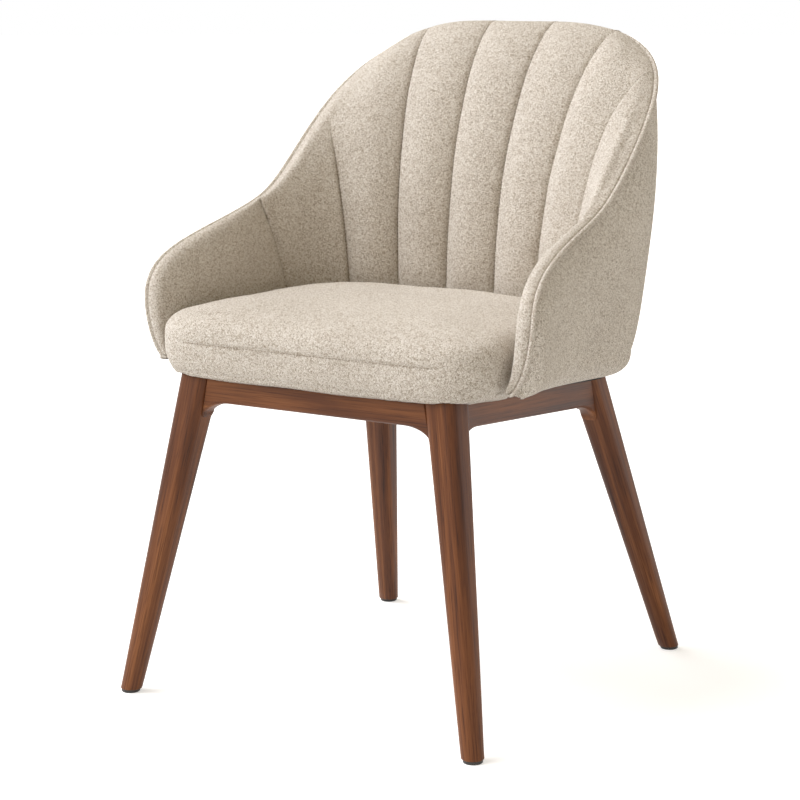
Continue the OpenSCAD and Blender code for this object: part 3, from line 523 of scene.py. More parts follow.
plywood = make_timber("plywood", PLY_TONES, turn=(0, math.pi / 2, 0), stretch=0.10, figure=60.0,
                      roughness=0.6)
tree = plywood.node_tree
shader = tree.nodes["Principled BSDF"]
coordinates = tree.nodes["Texture Coordinate"].outputs["Object"]
layers = add_node(tree, "ShaderNodeTexWave", {"bands_direction": "Z"}, Vector=coordinates,
                  Scale=PLY_LAYERS, Distortion=PLY_WAVER).outputs["Fac"]
wood = shader.inputs["Base Color"].links[0].from_socket
fill(tree, shader, Base_Color=add_tint(tree, PLY_SHARE, wood, add_ramp(tree, layers, PLY_STOPS)))
dress(plywood, "shell_core", "front_spacer", "seat_board")


# Seat cushion: foam under beige boucle, a crowned top panel sewn to a bulging
# band. The seam is top-stitched across the front, and a lip hangs over the frame.
CUSHION_HALF_WIDTH = 0.219
CUSHION_FRONT = 0.247
CUSHION_TOP = 0.490
CUSHION_CROWN = 0.0015
CUSHION_BACK = 0.133
CUSHION_MIDDLE = -0.020
CUSHION_BULGE = 0.34
CUSHION_TUCK = 0.013
CROWN_REACH = 0.120
CROWN_RISE = 4.6
CROWN_ROUND = 0.43
FRONT_DROP = 0.006
FRONT_REACH = 0.2
LIP_DROP = 0.0125
LIP_RISE = 0.012
LIP_CORNER = (0.185, 0.06)
LIP_LENGTH = 0.1
ARM_FRONT = 0.190
ARM_FLARE = 0.030
CUSHION_FLARE = 0.8
BACK_CURVE = 2.35
FRONT_CURVE = 6.6
SEAM_SHARE = 0.5
SEAM_DEPTH = 0.0012
SEAM_WIDTH = 0.0020
SEAM_REACH = 0.172
SEAM_FADE = 0.025
HEM_SHARE = 0.10
HEM_DEPTH = 0.0010
HEM_WIDTH = 0.0014
SIDE_PINCH = 0.25
SEAM_SPREAD = (-3.2, -2, -1.2, -0.6, 0, 0.6, 1.2, 2, 3.2)
CUSHION_HEIGHT = 0.086
CUSHION_SIDES = 220
LOWER_RINGS = 16
BAND_RINGS = 6
CROWN_RINGS = 40
CROWN_BIAS = 2.6
TOP_RINGS = 14
TOP_FACE = 0.06
RING_GAP = 0.01
CUSHION_LUMPS = ((0.0016, 0.07, 3.0), (0.0004, 0.012, 9.0))
CLOTH_SHARP = 60
BOARD_HALF_WIDTH = 0.208
BOARD_FRONT = 0.235
BOARD_TOP = 0.0218
BOARD_CLEARANCE = 0.0008
BOARD_ROUND = 0.028
BOARD_CORNER_STEPS = 8
SPACER_BACK = 0.150
SPACE_REACH = 0.5
# the wool's own beige at the light end; the dark end is painted shade in the gaps between the loops
BOUCLE_TONES_WITH_GAP_SHADE = [(0.08, (0.310, 0.236, 0.160)), (0.40, (0.640, 0.548, 0.445)), (0.64, (0.860, 0.784, 0.688)),
                (0.90, (1.000, 0.955, 0.890))]
LOOP_SCALE = 450.0
# fineness, twist and depth of the gaps, for each layer of loops; the depth also darkens the gaps' colour as
# painted shade between the loops
LOOP_LAYERS = ((1.0, 0.8, 0.95), (1.8, 0.4, 0.6))
LOOP_GAP = 0.16
LOOP_NOISE = {"Detail": 1.5, "Roughness": 0.5}
FUZZ_NOISE = {"Scale": LOOP_SCALE * 3.1, "Detail": 2.0}
PILE_RANGE = (-0.95, 0.62)
PILE_RELIEF = 0.7
BOUCLE_PILE = 0.0020
HANDLED_NOISE = {"Scale": 11.0, "Detail": 2.0}
HANDLED_TONES = [(0.3, (0.93, 0.925, 0.92)), (0.7, (1.0, 1.0, 1.0))]
WOOL_FINISH = {"Roughness": 0.94, "Specular_IOR_Level": 0.18, "Sheen_Weight": 0.22,
               "Sheen_Roughness": 0.45, "Sheen_Tint": (0.95, 0.90, 0.82, 1.0)}
# real thread, coloured as dark as the shade in the seams' creases: painted shade on the stitches
THREAD_TONES_WITH_CREASE_SHADE = [(0.3, (0.210, 0.152, 0.104)), (0.7, (0.330, 0.252, 0.184))]
THREAD_TWIST = {"Scale": 1500.0, "Detail": 2.0}
THREAD_RELIEF = (0.3, 0.0002)
THREAD_ROUGHNESS = 0.7
STITCH_LENGTH = 0.0036
STITCH_PITCH = 0.0046
STITCH_RADIUS = 0.00032
# place along the stitch, girth and lift, as shares of its length and radius
STITCH_PROFILE = [(-0.5, 0.35, -0.6), (-0.36, 0.85, 0.0), (0.0, 1.0, 0.35), (0.36, 0.85, 0.0),
                  (0.5, 0.35, -0.6)]
STITCH_SIDES = 6
STITCH_AHEAD = 0.001
STITCH_LEAN = [0.0, -1.0, 0.25]
SEAM_TURN = (178.0, 120.0)
SEAM_POINTS = 500
SEAM_OVERRUN = 0.02


def ease(v):
    """A soft step: 0 up to 0, and 1 from 1 on."""
    c = np.clip(v, 0, 1)
    return c * c * (3 - 2 * c)


def reach_at(t, power):
    """Distance from the middle of a unit superellipse at the angle t, in degrees."""
    a = np.radians(t)
    return (np.abs(np.sin(a)) ** power + np.abs(np.cos(a)) ** power) ** (-1 / power)


def plan_at(half_width, depth, middle_y, power, t):
    """A point of a superelliptic plan: x, and y measured back from its middle."""
    r = reach_at(t, power)
    a = np.radians(t)
    return half_width * r * np.sin(a), middle_y + depth * r * np.cos(a)


def make_boucle(name, tones, depth):
    """Looped wool cloth: curled strands parted by thin gaps, darkened in the colour as painted shade
    between the loops, a soft sheen, slow changes of tone.
    """
    material, tree, shader, coordinates = new_material(name)
    pile = add_noise(tree, coordinates, **FUZZ_NOISE)
    for scale, twist, part in LOOP_LAYERS:
        curl = add_noise(tree, coordinates, Scale=LOOP_SCALE * scale, Distortion=twist, **LOOP_NOISE)
        gap = add_math(tree, "ABSOLUTE", add_math(tree, "MULTIPLY_ADD", curl, 2.0, -1.0))
        strand = add_node(tree, "ShaderNodeMapRange", {"interpolation_type": "SMOOTHSTEP"}, Value=gap,
                          From_Min=0.0, From_Max=LOOP_GAP, To_Min=-part, To_Max=0.0).outputs[0]
        pile = add_math(tree, "ADD", strand, pile)
    pile = add_node(tree, "ShaderNodeMapRange", Value=pile, From_Min=PILE_RANGE[0],
                    From_Max=PILE_RANGE[1]).outputs[0]
    handled = add_ramp(tree, add_noise(tree, coordinates, **HANDLED_NOISE), HANDLED_TONES)
    # the pile's low places, the gaps, take the tones' dark end: painted shade
    fill(tree, shader, Base_Color=add_tint(tree, 1.0, add_ramp(tree, pile, tones), handled), **WOOL_FINISH)
    add_relief(tree, shader, pile, PILE_RELIEF, depth)
    return material


def lumps(points, amount, size, start):
    """Small rises and hollows at the points, as foam and hand-work leave them."""
    flat = np.asarray(points, dtype=float).reshape(-1, 3) / size + start
    level = np.array([noise.noise(Vector(at)) for at in flat]) * amount
    return level.reshape(np.shape(points)[:-1])


def cushion_outline(t, inset):
    """The cushion's plan at the angles t, drawn in by inset."""
    half, front_depth = CUSHION_HALF_WIDTH - inset, CUSHION_FRONT + CUSHION_MIDDLE - inset
    back = plan_at(half, CUSHION_BACK - inset, CUSHION_MIDDLE, BACK_CURVE, t)
    front = plan_at(half, front_depth, CUSHION_MIDDLE, FRONT_CURVE, t)
    rear = np.abs(t) <= 90
    x, y = np.where(rear, back[0], front[0]), np.where(rear, back[1], front[1])
    forward = np.clip((CUSHION_MIDDLE - y) / (ARM_FRONT + CUSHION_MIDDLE), 0, 1)
    return x + np.sign(x) * CUSHION_FLARE * ARM_FLARE * forward ** 2, y


def cushion_inset(share):
    """How far the skin lies inside the widest outline at a share of the height."""
    if share < CUSHION_BULGE:
        return CUSHION_TUCK * (1 - math.sqrt(1 - (1 - share / CUSHION_BULGE) ** 2))
    rise = (share - CUSHION_BULGE) / (1 - CUSHION_BULGE)
    return CROWN_REACH * (1 - (1 - rise ** CROWN_RISE) ** CROWN_ROUND)


def cushion_ring(share, inset, turn):
    """The skin at a share of the height: the lip below rises towards the front corners."""
    x, y = cushion_outline(turn, inset)
    corner = ease((np.abs(x) - LIP_CORNER[0]) / LIP_CORNER[1]) * ease(-y / LIP_LENGTH)
    low = frame_z(y) - LIP_DROP + LIP_RISE * corner
    high = CUSHION_TOP - FRONT_DROP * np.clip((CUSHION_MIDDLE - y) / FRONT_REACH, 0, 1) ** 2
    return np.stack([x, y, mix(low, high, share)], axis=-1)


boucle = make_boucle("boucle", BOUCLE_TONES_WITH_GAP_SHADE, BOUCLE_PILE)
turn = 180 - 360 * (np.arange(CUSHION_SIDES) + 0.5) / CUSHION_SIDES
near_seam = SEAM_SHARE + np.array(SEAM_SPREAD) * SEAM_WIDTH / CUSHION_HEIGHT
near_hem = HEM_SHARE + np.array(SEAM_SPREAD) * HEM_WIDTH / CUSHION_HEIGHT
lower = np.sin(np.linspace(0, math.pi / 2, LOWER_RINGS)) * CUSHION_BULGE
below_hem, above_hem = lower[lower < near_hem[0] - RING_GAP], lower[lower > near_hem[-1] + RING_GAP]
band = np.linspace(CUSHION_BULGE, near_seam[0], BAND_RINGS)[1:-1]
crown = 1 - (1 - np.linspace(0, 1, CROWN_RINGS)[1:]) ** CROWN_BIAS * (1 - near_seam[-1])
rings = []
for share in np.concatenate([below_hem, near_hem, above_hem, band, near_seam, crown]):
    pinch = SEAM_DEPTH * math.exp(-((share - SEAM_SHARE) * CUSHION_HEIGHT / SEAM_WIDTH) ** 2)
    turned = HEM_DEPTH * math.exp(-((share - HEM_SHARE) * CUSHION_HEIGHT / HEM_WIDTH) ** 2)
    x, y = cushion_outline(turn, 0.0)
    held = ease((SEAM_REACH + SEAM_FADE - np.abs(x)) / (2 * SEAM_FADE)) * (y < CUSHION_MIDDLE)
    inset = cushion_inset(min(share, 1.0)) + pinch * mix(SIDE_PINCH, 1, held) + turned
    rings.append(cushion_ring(share, inset, turn))
last = rings[-1]
centre = last.mean(axis=0)
for share in np.linspace(1, TOP_FACE, TOP_RINGS)[1:]:
    inner = centre + (last - centre) * share
    inner[:, 2] = last[:, 2] + CUSHION_CROWN * (1 - share ** 2)
    rings.append(inner)
cushion = make_piece("cushion", rings, ring_faces(len(rings), CUSHION_SIDES), boucle,
                     sharp=CLOTH_SHARP)
skin, normals = (np.zeros(3 * len(cushion.data.vertices), dtype=np.float32) for _ in range(2))
cushion.data.vertices.foreach_get("co", skin)
cushion.data.vertex_normals.foreach_get("vector", normals)
skin, normals = skin.reshape(-1, 3), normals.reshape(-1, 3)
level = sum(lumps(skin, *lump) for lump in CUSHION_LUMPS)
cushion.data.vertices.foreach_set("co", (skin + normals * level[:, None]).ravel())

# the room for the seat board, cut from below with the board's rounded corners
turns = np.linspace(0, math.pi / 2, BOARD_CORNER_STEPS)
half, front = BOARD_HALF_WIDTH + BOARD_CLEARANCE, BOARD_FRONT + BOARD_CLEARANCE
right_corner = [(half - BOARD_ROUND * (1 - math.cos(a)), -front + BOARD_ROUND * (1 - math.sin(a)))
                for a in turns]
space = [(SPACE_REACH, -SPACER_BACK), (SPACE_REACH, SPACE_REACH), (-SPACE_REACH, SPACE_REACH),
         (-SPACE_REACH, -SPACER_BACK), (-half, -SPACER_BACK)]
space += [(-x, y) for x, y in right_corner] + right_corner[::-1] + [(half, -SPACER_BACK)]
slope_turn = Matrix.Translation((0, 0, FRAME_TOP)) @ Matrix.Rotation(-math.atan(FRAME_FALL), 4, "X")
space_points = [slope_turn @ Vector((x, y, z)) for z in (-SPACE_REACH, BOARD_TOP) for x, y in space]
cutter = make_piece("board_space", space_points, ring_faces(2, len(space)), boucle)
hollow = cushion.modifiers.new("board_space", "BOOLEAN")
hollow.object = cutter
hollow.operation = "DIFFERENCE"
hollow.solver = "EXACT"
seated = bpy.data.meshes.new_from_object(cushion.evaluated_get(bpy.context.evaluated_depsgraph_get()))
cushion.modifiers.clear()
cushion.data = seated
bpy.data.objects.remove(cutter)
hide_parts("seat_cushion")

thread, tree, shader, coordinates = new_material("thread")
twist = add_noise(tree, coordinates, **THREAD_TWIST)
fill(tree, shader, Base_Color=add_ramp(tree, twist, THREAD_TONES_WITH_CREASE_SHADE), Roughness=THREAD_ROUGHNESS)
add_relief(tree, shader, twist, *THREAD_RELIEF)


def point_on(line, run, at):
    """The point of a line at a distance along it."""
    return np.array([np.interp(at, run, line[:, k]) for k in range(3)])


def sew(name, lines):
    """Short sunk stitches along each line of points, all in one piece."""
    points, faces = [], []
    for line, normals in lines:
        steps = np.linalg.norm(np.diff(line, axis=0), axis=1)
        run = np.concatenate([[0], np.cumsum(steps)])
        for at in np.arange(STITCH_PITCH / 2, run[-1] - STITCH_PITCH / 2, STITCH_PITCH):
            middle = point_on(line, run, at)
            after = point_on(line, run, at + STITCH_AHEAD)
            along = (after - middle) / np.linalg.norm(after - middle)
            across = np.cross(point_on(normals, run, at), along)
            across /= np.linalg.norm(across)
            up = np.cross(along, across)
            base = len(points)
            for place, girth, lift in STITCH_PROFILE:
                heart = middle + along * place * STITCH_LENGTH + up * lift * STITCH_RADIUS
                for k in range(STITCH_SIDES):
                    a = k * 2 * math.pi / STITCH_SIDES
                    points.append(heart + (across * math.cos(a) + up * math.sin(a)) * girth * STITCH_RADIUS)
            stitch = ring_faces(len(STITCH_PROFILE), STITCH_SIDES)
            faces += [tuple(base + i for i in face) for face in stitch]
    return make_piece(name, points, faces, thread)


seam_turn = np.linspace(-SEAM_TURN[0], SEAM_TURN[0], SEAM_POINTS)
seam_turn = np.concatenate([seam_turn[seam_turn > SEAM_TURN[1]], seam_turn[seam_turn < -SEAM_TURN[1]]])
x, y = cushion_outline(seam_turn, SEAM_DEPTH - STITCH_RADIUS)
seam_points = np.stack([x, y, mix(frame_z(y) - LIP_DROP, CUSHION_TOP - FRONT_DROP, SEAM_SHARE)], axis=1)
seam_points = seam_points[np.abs(seam_points[:, 0]) < SEAM_REACH + SEAM_OVERRUN]
sew("cushion_stitches", [(seam_points, np.tile(STITCH_LEAN, (len(seam_points), 1)))])


# Back pad: foam and boucle inside the back, sewn in seven channels that fan
# round the double-curved tub, roll over its rim and end under the piping. Its
# form hangs between the rim's line and the line of the shell's underside.
BACK_HEIGHT = 0.815
ARM_HEIGHT = 0.602
RIM_HALF_WIDTH = 0.245
RIM_DEPTH = 0.238
UNDER_HALF_WIDTH = 0.218
UNDER_DEPTH = 0.150
UNDER_SETBACK = 0.006
SIDE_SWELL = 0.021
BACK_SWELL = 0.004
SWELL_REACH = 0.6
SWELL_TOP = 5
SWELL_FOOT = (12, 22)
NOSE_FLATNESS = 0.8
NOSE_TURN = 12
ROLL_RADIUS = 0.013
ARM_ROLL = 0.017
RIM_DROP = 0.6 * ROLL_RADIUS
RIM_CURVE = 3.5
RIM_STEP = 0.01
UNDER_CURVE = 4.5
NOSE_CURVE = 6.5
SIDE_Y = 0.030
FALL_START = 12.0
FALL_END = 106.0
FALL_POWER = 1.35
CORE_END = 40.0
CORE_SHARE = 1 + CORE_END / 90
CORE_THICKNESS = 0.009
OUTER_THICKNESS = 0.007
BEND_RADIUS = 0.030
CORE_DROP = 0.030
LOW_WALL = 0.35
DUST_GAP = 0.0008
SOFT_GAP = 0.0008
LAP_GAP = 0.0015
ARM_LOW = 0.008
ARM_SLOPE = 0.285
SLOPE_LENGTH = 0.022
UNDER_FLARE = 1.35
PAD_FLARE = 0.95
TUCK_HEIGHT = 0.095
TUCK = 0.040
INNER_HALF_WIDTH = 0.224
INNER_DEPTH = 0.142
INNER_SETBACK = 0.012
KNEE_HEIGHT = 0.480
# s runs round the tub: 0 at the back's middle, 1 at the side, 2 at an arm's foot;
# a FROM and OVER pair says where along s or v a change starts, and over how much
SIDE_FROM = 0.6
SIDE_OVER = 0.4
LEAN_RISE = (2, 4.5)
LEAN_ROUND = (0.65, 0.55)
NOSE_LOW = 0.003
NOSE_THICKNESS = 0.009
NOSE_COVER = 0.5
CHANNEL_DEPTH = 0.012
CHANNEL_CURVE = 2.0
CREASE_DEPTH = 0.0040
CREASE_WIDTH = 0.0022
PUCKER = 0.00045
PUCKER_PITCH = 0.0124
PUCKER_REACH = 0.008
PUCKER_SHIFT = 2.1
PAD_LENGTH = 0.36
PUFF_FROM = 0.02
PUFF_OVER = 0.2
# place of each seam at the foot and at the crest, and how late it spreads
SEAMS = {1: (0.1, 0.12, 1.7), 2: (0.29, 0.345, 1.3), 3: (0.49, 0.56, 1.1), 4: (0.775, 1.09, 1.9),
         -1: (0.1, 0.12, 1.7), -2: (0.29, 0.345, 1.3), -3: (0.482, 0.72, 2.2), -4: (0.775, 1.09, 1.9)}
DART_SEAM = -3
DART_FADE = 0.85
DART_FROM = 0.60
DART_OVER = 0.26
SEWN_FROM = 0.5
GROOVE_DEPTH = 0.0016
GROOVE_WIDTH = 0.003
GROOVE_FROM = 1.72
GROOVE_OVER = 0.28
CREST_PUFF = (1, 0.6)
CREST_FROM = 0.4
CREST_OVER = 0.3
SHOULDER_REACH = 0.060
SHOULDER_FROM = 0.34
SHOULDER_OVER = 0.3
ARM_REACH = 0.016
ARM_FROM = 0.95
ARM_OVER = 0.4
END_REACH = 1.6
LEAST_REACH = 1e-6
SEAM_GAP = 0.003
PIPING_WIDTH = 0.005
CHANNEL_STEPS = 20
PAD_ROWS = 84
ROW_BIAS = 1.5
ROLL_ROWS = 16
BACK_ROWS = 16
PAD_SHARP = 75
PAD_LUMPS = ((0.0013, 0.06, 1.0), (0.0004, 0.014, 5.0))


def stack(x, y, z):
    """Points from their coordinates, each a number or an array."""
    return np.stack(np.broadcast_arrays(x, y, z), axis=-1).astype(float)


def unit(v):
    """Directions, each of length one."""
    return v / np.linalg.norm(v, axis=-1, keepdims=True)


def psi(s):
    """Angle of a column in side view: 0 at the side of the tub, 90 at the arm's foot."""
    return 90 * (s - 1)


def arm_share(s):
    """Way from the side of the tub to the arm's front, for the rim."""
    return reach_at(psi(s), NOSE_CURVE) * np.sin(np.radians(psi(s)))


def foot_share(s):
    """The same way along the underside, straight where the rim turns down."""
    bent = arm_share(np.minimum(s, CORE_SHARE))
    straight = mix(bent, 1, (psi(s) - CORE_END) / (90 - CORE_END))
    return np.where(psi(s) < CORE_END, arm_share(s), straight)


def fall_share(t):
    """How far the rim has fallen at angle t from the back's middle."""
    turned = np.clip((t - FALL_START) / (FALL_END - FALL_START), 0, 1)
    return ((1 - np.cos(np.pi * turned)) / 2) ** FALL_POWER


def rim_back(t):
    """The rim's line round the back, falling to the arm's height at the side."""
    x, y = plan_at(RIM_HALF_WIDTH, RIM_DEPTH, SIDE_Y, RIM_CURVE, t)
    fall = (BACK_HEIGHT - RIM_DROP - ARM_HEIGHT) / fall_share(90.0)
    return stack(x, y, BACK_HEIGHT - RIM_DROP - fall * fall_share(t))


side_step = rim_back(np.array(90.0)) - rim_back(np.array(89.0))
side_slope = side_step[2] / side_step[1]


def rim(s):
    """The rim's line: round the back for s below 1, then along the arm and down its front edge."""
    back = rim_back(90 * np.minimum(s, 1.0))
    arm_s = np.maximum(s, 1.0)
    share = arm_share(arm_s)
    y = mix(SIDE_Y, -ARM_FRONT, share)
    low = frame_z(-ARM_FRONT, ARM_LOW)
    eased = (side_slope - ARM_SLOPE) * SLOPE_LENGTH * (1 - np.exp((y - SIDE_Y) / SLOPE_LENGTH))
    top = ARM_HEIGHT - ARM_SLOPE * (SIDE_Y - y) - eased
    z = mix(low, top, reach_at(psi(arm_s), NOSE_CURVE) * np.cos(np.radians(psi(arm_s))))
    height = np.clip((z - frame_z(y)) / TUCK_HEIGHT, 0, 1)
    tucked = TUCK * (1 - np.sqrt(1 - (1 - height) ** 2))
    arm = stack(RIM_HALF_WIDTH + ARM_FLARE * share ** 2 - tucked, y, z)
    return np.where((s <= 1)[..., None], back, arm)


def outward(s):
    """Level direction out of the tub."""
    t = 90 * np.minimum(s, 1.0)
    r = reach_at(t, RIM_CURVE)
    a = np.radians(t)
    x = np.abs(r * np.sin(a)) ** (RIM_CURVE - 1) / RIM_HALF_WIDTH
    y = np.abs(r * np.cos(a)) ** (RIM_CURVE - 1) / RIM_DEPTH
    around = unit(stack(x, y, 0.0))
    return np.where((s >= 1)[..., None], np.array([1.0, 0.0, 0.0]), around)


def rim_run(s):
    """Direction along the rim."""
    return unit(rim(np.minimum(2.0, s + RIM_STEP)) - rim(np.maximum(0.0, s - RIM_STEP)))


def crestward(s):
    """Direction from the rim to its crest, square to the rim."""
    return unit(np.cross(rim_run(s), outward(s)))


def underside(s):
    """The line of the shell's underside, beside column s."""
    x, y = plan_at(UNDER_HALF_WIDTH, UNDER_DEPTH, SIDE_Y, UNDER_CURVE, 90 * np.minimum(s, 1.0))
    share = foot_share(np.maximum(s, 1.0))
    x = np.where(s <= 1, x, UNDER_HALF_WIDTH + UNDER_FLARE * ARM_FLARE * share ** 2)
    y = np.where(s <= 1, y, mix(SIDE_Y, -ARM_FRONT + UNDER_SETBACK, share))
    return stack(x, y, frame_z(y, DUST_GAP))


def nose_part(s):
    """Way from the core's end to the arm's foot."""
    return ease((s - CORE_SHARE) / (2 - CORE_SHARE))


def outer_at(s, q):
    """The outer surface: q is 0 at the rim and 1 at the underside."""
    swell = mix(BACK_SWELL, SIDE_SWELL, ease(s / SWELL_REACH)) * (1 - NOSE_FLATNESS * nose_part(s))
    edge = mix(*SWELL_FOOT, np.clip((s - 1) / (CORE_SHARE - 1), 0, 1))
    bulge = swell * (1 - (1 - q) ** SWELL_TOP) * (1 - q ** edge)
    return mix(rim(s), underside(s), q[..., None]) + outward(s) * bulge[..., None]


def inside(s, z, depth):
    """A point a depth inside the outer surface at height z."""
    top = rim(s)[..., 2]
    q = np.clip((top - z) / (top - underside(s)[..., 2]), 0, 1)
    return outer_at(s, q) - outward(s) * np.asarray(depth)[..., None]


def nose_share(s):
    """0 on the core and 1 on the arm's nose, with a short change between."""
    return ease((psi(s) - CORE_END) / NOSE_TURN)


def inner_low(s):
    """The padding's foot."""
    x, y = plan_at(INNER_HALF_WIDTH, INNER_DEPTH, CUSHION_MIDDLE, BACK_CURVE, 90 * np.minimum(s, 1.0))
    share = foot_share(np.maximum(s, 1.0))
    x = np.where(s <= 1, x, INNER_HALF_WIDTH + PAD_FLARE * ARM_FLARE * share ** 2)
    y = np.where(s <= 1, y, mix(CUSHION_MIDDLE, -ARM_FRONT + INNER_SETBACK, share))
    nose = nose_share(s)
    low = mix(DUST_GAP + CORE_THICKNESS / 2 + BEND_RADIUS, NOSE_LOW, nose)
    return stack(mix(x, underside(s)[..., 0] - NOSE_THICKNESS, nose), y, frame_z(y, low))


def inner_at(s, v):
    """The inner surface: v is 0 at the pad's foot, 1 at the crest and 2 at the piping."""
    out, up = outward(s), crestward(s)
    roll = mix(ROLL_RADIUS, ARM_ROLL, ease((s - 1) / (CORE_SHARE - 1)))[..., None]
    crest = rim(s) - out * roll + up * RIM_DROP
    a = np.radians(90 * np.clip(v - 1, 0, 1))[..., None]
    rolled = crest + out * roll * np.sin(a) - up * (RIM_DROP - LAP_GAP) * (1 - np.cos(a))
    low = inner_low(s)
    share = np.clip(v, 0, 1)
    z = mix(low[..., 2], crest[..., 2], share)
    nose = nose_share(s)
    knee = mix(np.minimum(KNEE_HEIGHT, mix(low[..., 2], crest[..., 2], LOW_WALL)), low[..., 2], nose)
    t = np.clip((z - knee) / (crest[..., 2] - knee), 0, 1)
    side = ease((s - SIDE_FROM) / SIDE_OVER)
    lean = 1 - (1 - t ** mix(*LEAN_RISE, side)) ** mix(*LEAN_ROUND, side)
    w = mix(lean, t, nose)
    wall = stack(mix(low[..., 0], crest[..., 0], w), mix(low[..., 1], crest[..., 1], w), z)
    return np.where((v > 1)[..., None], rolled, wall)


def top_drop(s):
    """How far the core's edge lies below the rim."""
    return np.minimum(CORE_DROP, LOW_WALL * (rim(s)[..., 2] - underside(s)[..., 2]))


def cover_depth(s, z):
    """Depth of the outer cover's inner face: full against the core, thin at the rim."""
    full = mix(PIPING_WIDTH / 2, OUTER_THICKNESS - SOFT_GAP, ease((rim(s)[..., 2] - z) / top_drop(s)))
    return full * mix(1, NOSE_COVER, nose_part(s))


def back_face(s, v):
    """The back of the padding beside row v."""
    low, edge = inner_low(s)[..., 2], rim(s)[..., 2]
    top = edge - top_drop(s)
    z = np.where(v <= 1, mix(low, top, np.clip(v, 0, 1)), mix(top, edge, np.clip(v - 1, 0, 1)))
    cored = (s <= CORE_SHARE + SEAM_GAP) & (v <= 1)
    depth = np.where(cored, OUTER_THICKNESS + CORE_THICKNESS, cover_depth(s, z))
    depth = depth + LAP_GAP * (1 + nose_share(s))
    lift = LAP_GAP * np.clip(v - 1, 0, 1)
    return inside(s, z, depth) + crestward(s) * lift[..., None]


def mirrored(s, points):
    """Points of a column, on the side that its sign says."""
    flip = np.where(s < 0, -1.0, 1.0)[..., None]
    return points * np.concatenate([flip, np.ones_like(flip), np.ones_like(flip)], axis=-1)


def seam_at(number, v):
    """Place of a seam, counted outward from the back's middle, at row v."""
    base, end, power = SEAMS[number]
    return math.copysign(1, number) * mix(base, end, np.minimum(v, 1) ** power)


def sewn_share(number, v):
    """How deep a seam is drawn in: one beside the arm ends like a dart."""
    return 1 - DART_FADE * ease((v - DART_FROM) / DART_OVER) * (number == DART_SEAM)


def rounded(line, reach):
    """A line of points with its bends eased over a reach and its ends kept."""
    run = np.concatenate([[0], np.cumsum(np.linalg.norm(np.diff(line, axis=0), axis=1))])
    ends = np.minimum(run, END_REACH * (run[-1] - run))
    span = np.maximum(np.minimum(reach, ends), LEAST_REACH)
    weight = np.exp(-((run - run[:, None]) / span[:, None]) ** 2) * np.gradient(run)
    return weight @ line / weight.sum(axis=1, keepdims=True)


def padded_face(places, v, puff):
    """The padding's inner face, puffed out and a little uneven, and drawn in beside the piping."""
    s = np.abs(places)
    front = mirrored(places, inner_at(s, v))
    level = puff * ease((v - PUFF_FROM) / PUFF_OVER) + sum(lumps(front, *lump) for lump in PAD_LUMPS)
    fade = mix(*CREST_PUFF, ease((s - CREST_FROM) / CREST_OVER))
    level = np.where(level > 0, level * fade, level) * (1 - ease((v - fade) / (2 - fade)))
    level = level + GROOVE_DEPTH * ease((v - GROOVE_FROM) / GROOVE_OVER)
    shoulder = SHOULDER_REACH * ease((s - SHOULDER_FROM) / SHOULDER_OVER)
    reach = mix(shoulder, ARM_REACH, ease((s - ARM_FROM) / ARM_OVER))
    return rounded(front - mirrored(places, outward(s)) * level[..., None], reach)


def padding(places, v, puff):
    """Front and back points of one column of padding, puffed out between its seams."""
    few = np.linspace(0, len(v) - 1, BACK_ROWS).round().astype(int)[::-1]
    back = back_face(np.abs(places[few]), v[few])
    return np.concatenate([padded_face(places, v, puff), mirrored(places[few], back)])


rows = np.concatenate([1 - (1 - np.linspace(0, 1, PAD_ROWS)) ** ROW_BIAS,
                       1 + np.linspace(0, 1, ROLL_ROWS + 1)[1:]])
run = rows * PAD_LENGTH
sections = []
seam_lines = []
for first, second in ((-4, -3), (-3, -2), (-2, -1), (-1, 1), (1, 2), (2, 3), (3, 4)):
    a, b = seam_at(first, rows), seam_at(second, rows)
    from_a = mirrored(a, inner_at(np.abs(a), rows))
    width = np.linalg.norm(mirrored(b, inner_at(np.abs(b), rows)) - from_a, axis=-1)
    steps = range(CHANNEL_STEPS + 1) if second == 4 else range(CHANNEL_STEPS)
    for step in steps:
        f = (1 - math.cos(math.pi * step / CHANNEL_STEPS)) / 2
        near = np.minimum(f, 1 - f) * width
        drawn = sewn_share(first if f < 0.5 else second, rows)
        crease = CREASE_DEPTH * drawn * np.exp(-(near / CREASE_WIDTH) ** 2)
        gathers = np.sin(2 * math.pi * run / PUCKER_PITCH + PUCKER_SHIFT * first)
        pucker = PUCKER * gathers * np.exp(-near / PUCKER_REACH)
        puff = CHANNEL_DEPTH * (1 - drawn * abs(2 * f - 1) ** CHANNEL_CURVE) - crease + pucker * (step > 0)
        sections.append(padding(mix(a, b, f), rows, puff))
    if first != -4:
        drawn = sewn_share(first, rows)
        level = 2 * STITCH_RADIUS + CHANNEL_DEPTH * (1 - drawn) - CREASE_DEPTH * drawn
        sewn = np.flatnonzero(drawn > SEWN_FROM)
        seam_lines.append((padded_face(a, rows, level)[sewn], mirrored(a, -outward(np.abs(a)))[sewn]))


def close_ends(sections):
    """Faces over the first and the last section, as strips from the front face to the back face."""
    count = len(sections[0])
    fronts = len(rows)
    backs = count - fronts
    faces = []
    for start, flip in ((0, False), ((len(sections) - 1) * count, True)):
        few = np.linspace(0, fronts - 1, BACK_ROWS).round().astype(int)
        for k in range(backs - 1):
            front = list(range(few[k], few[k + 1] + 1))
            face = [start + i for i in front] + [start + count - 2 - k, start + count - 1 - k]
            faces.append(tuple(face[::-1] if flip else face))
    return faces


def make_pad(name, sections, node):
    """A pad from its columns, in place of the CAD node."""
    faces = ring_faces(len(sections), len(sections[0]))[:-2] + close_ends(sections)
    pad = make_piece(name, sections, faces, boucle, sharp=PAD_SHARP)
    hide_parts(node)


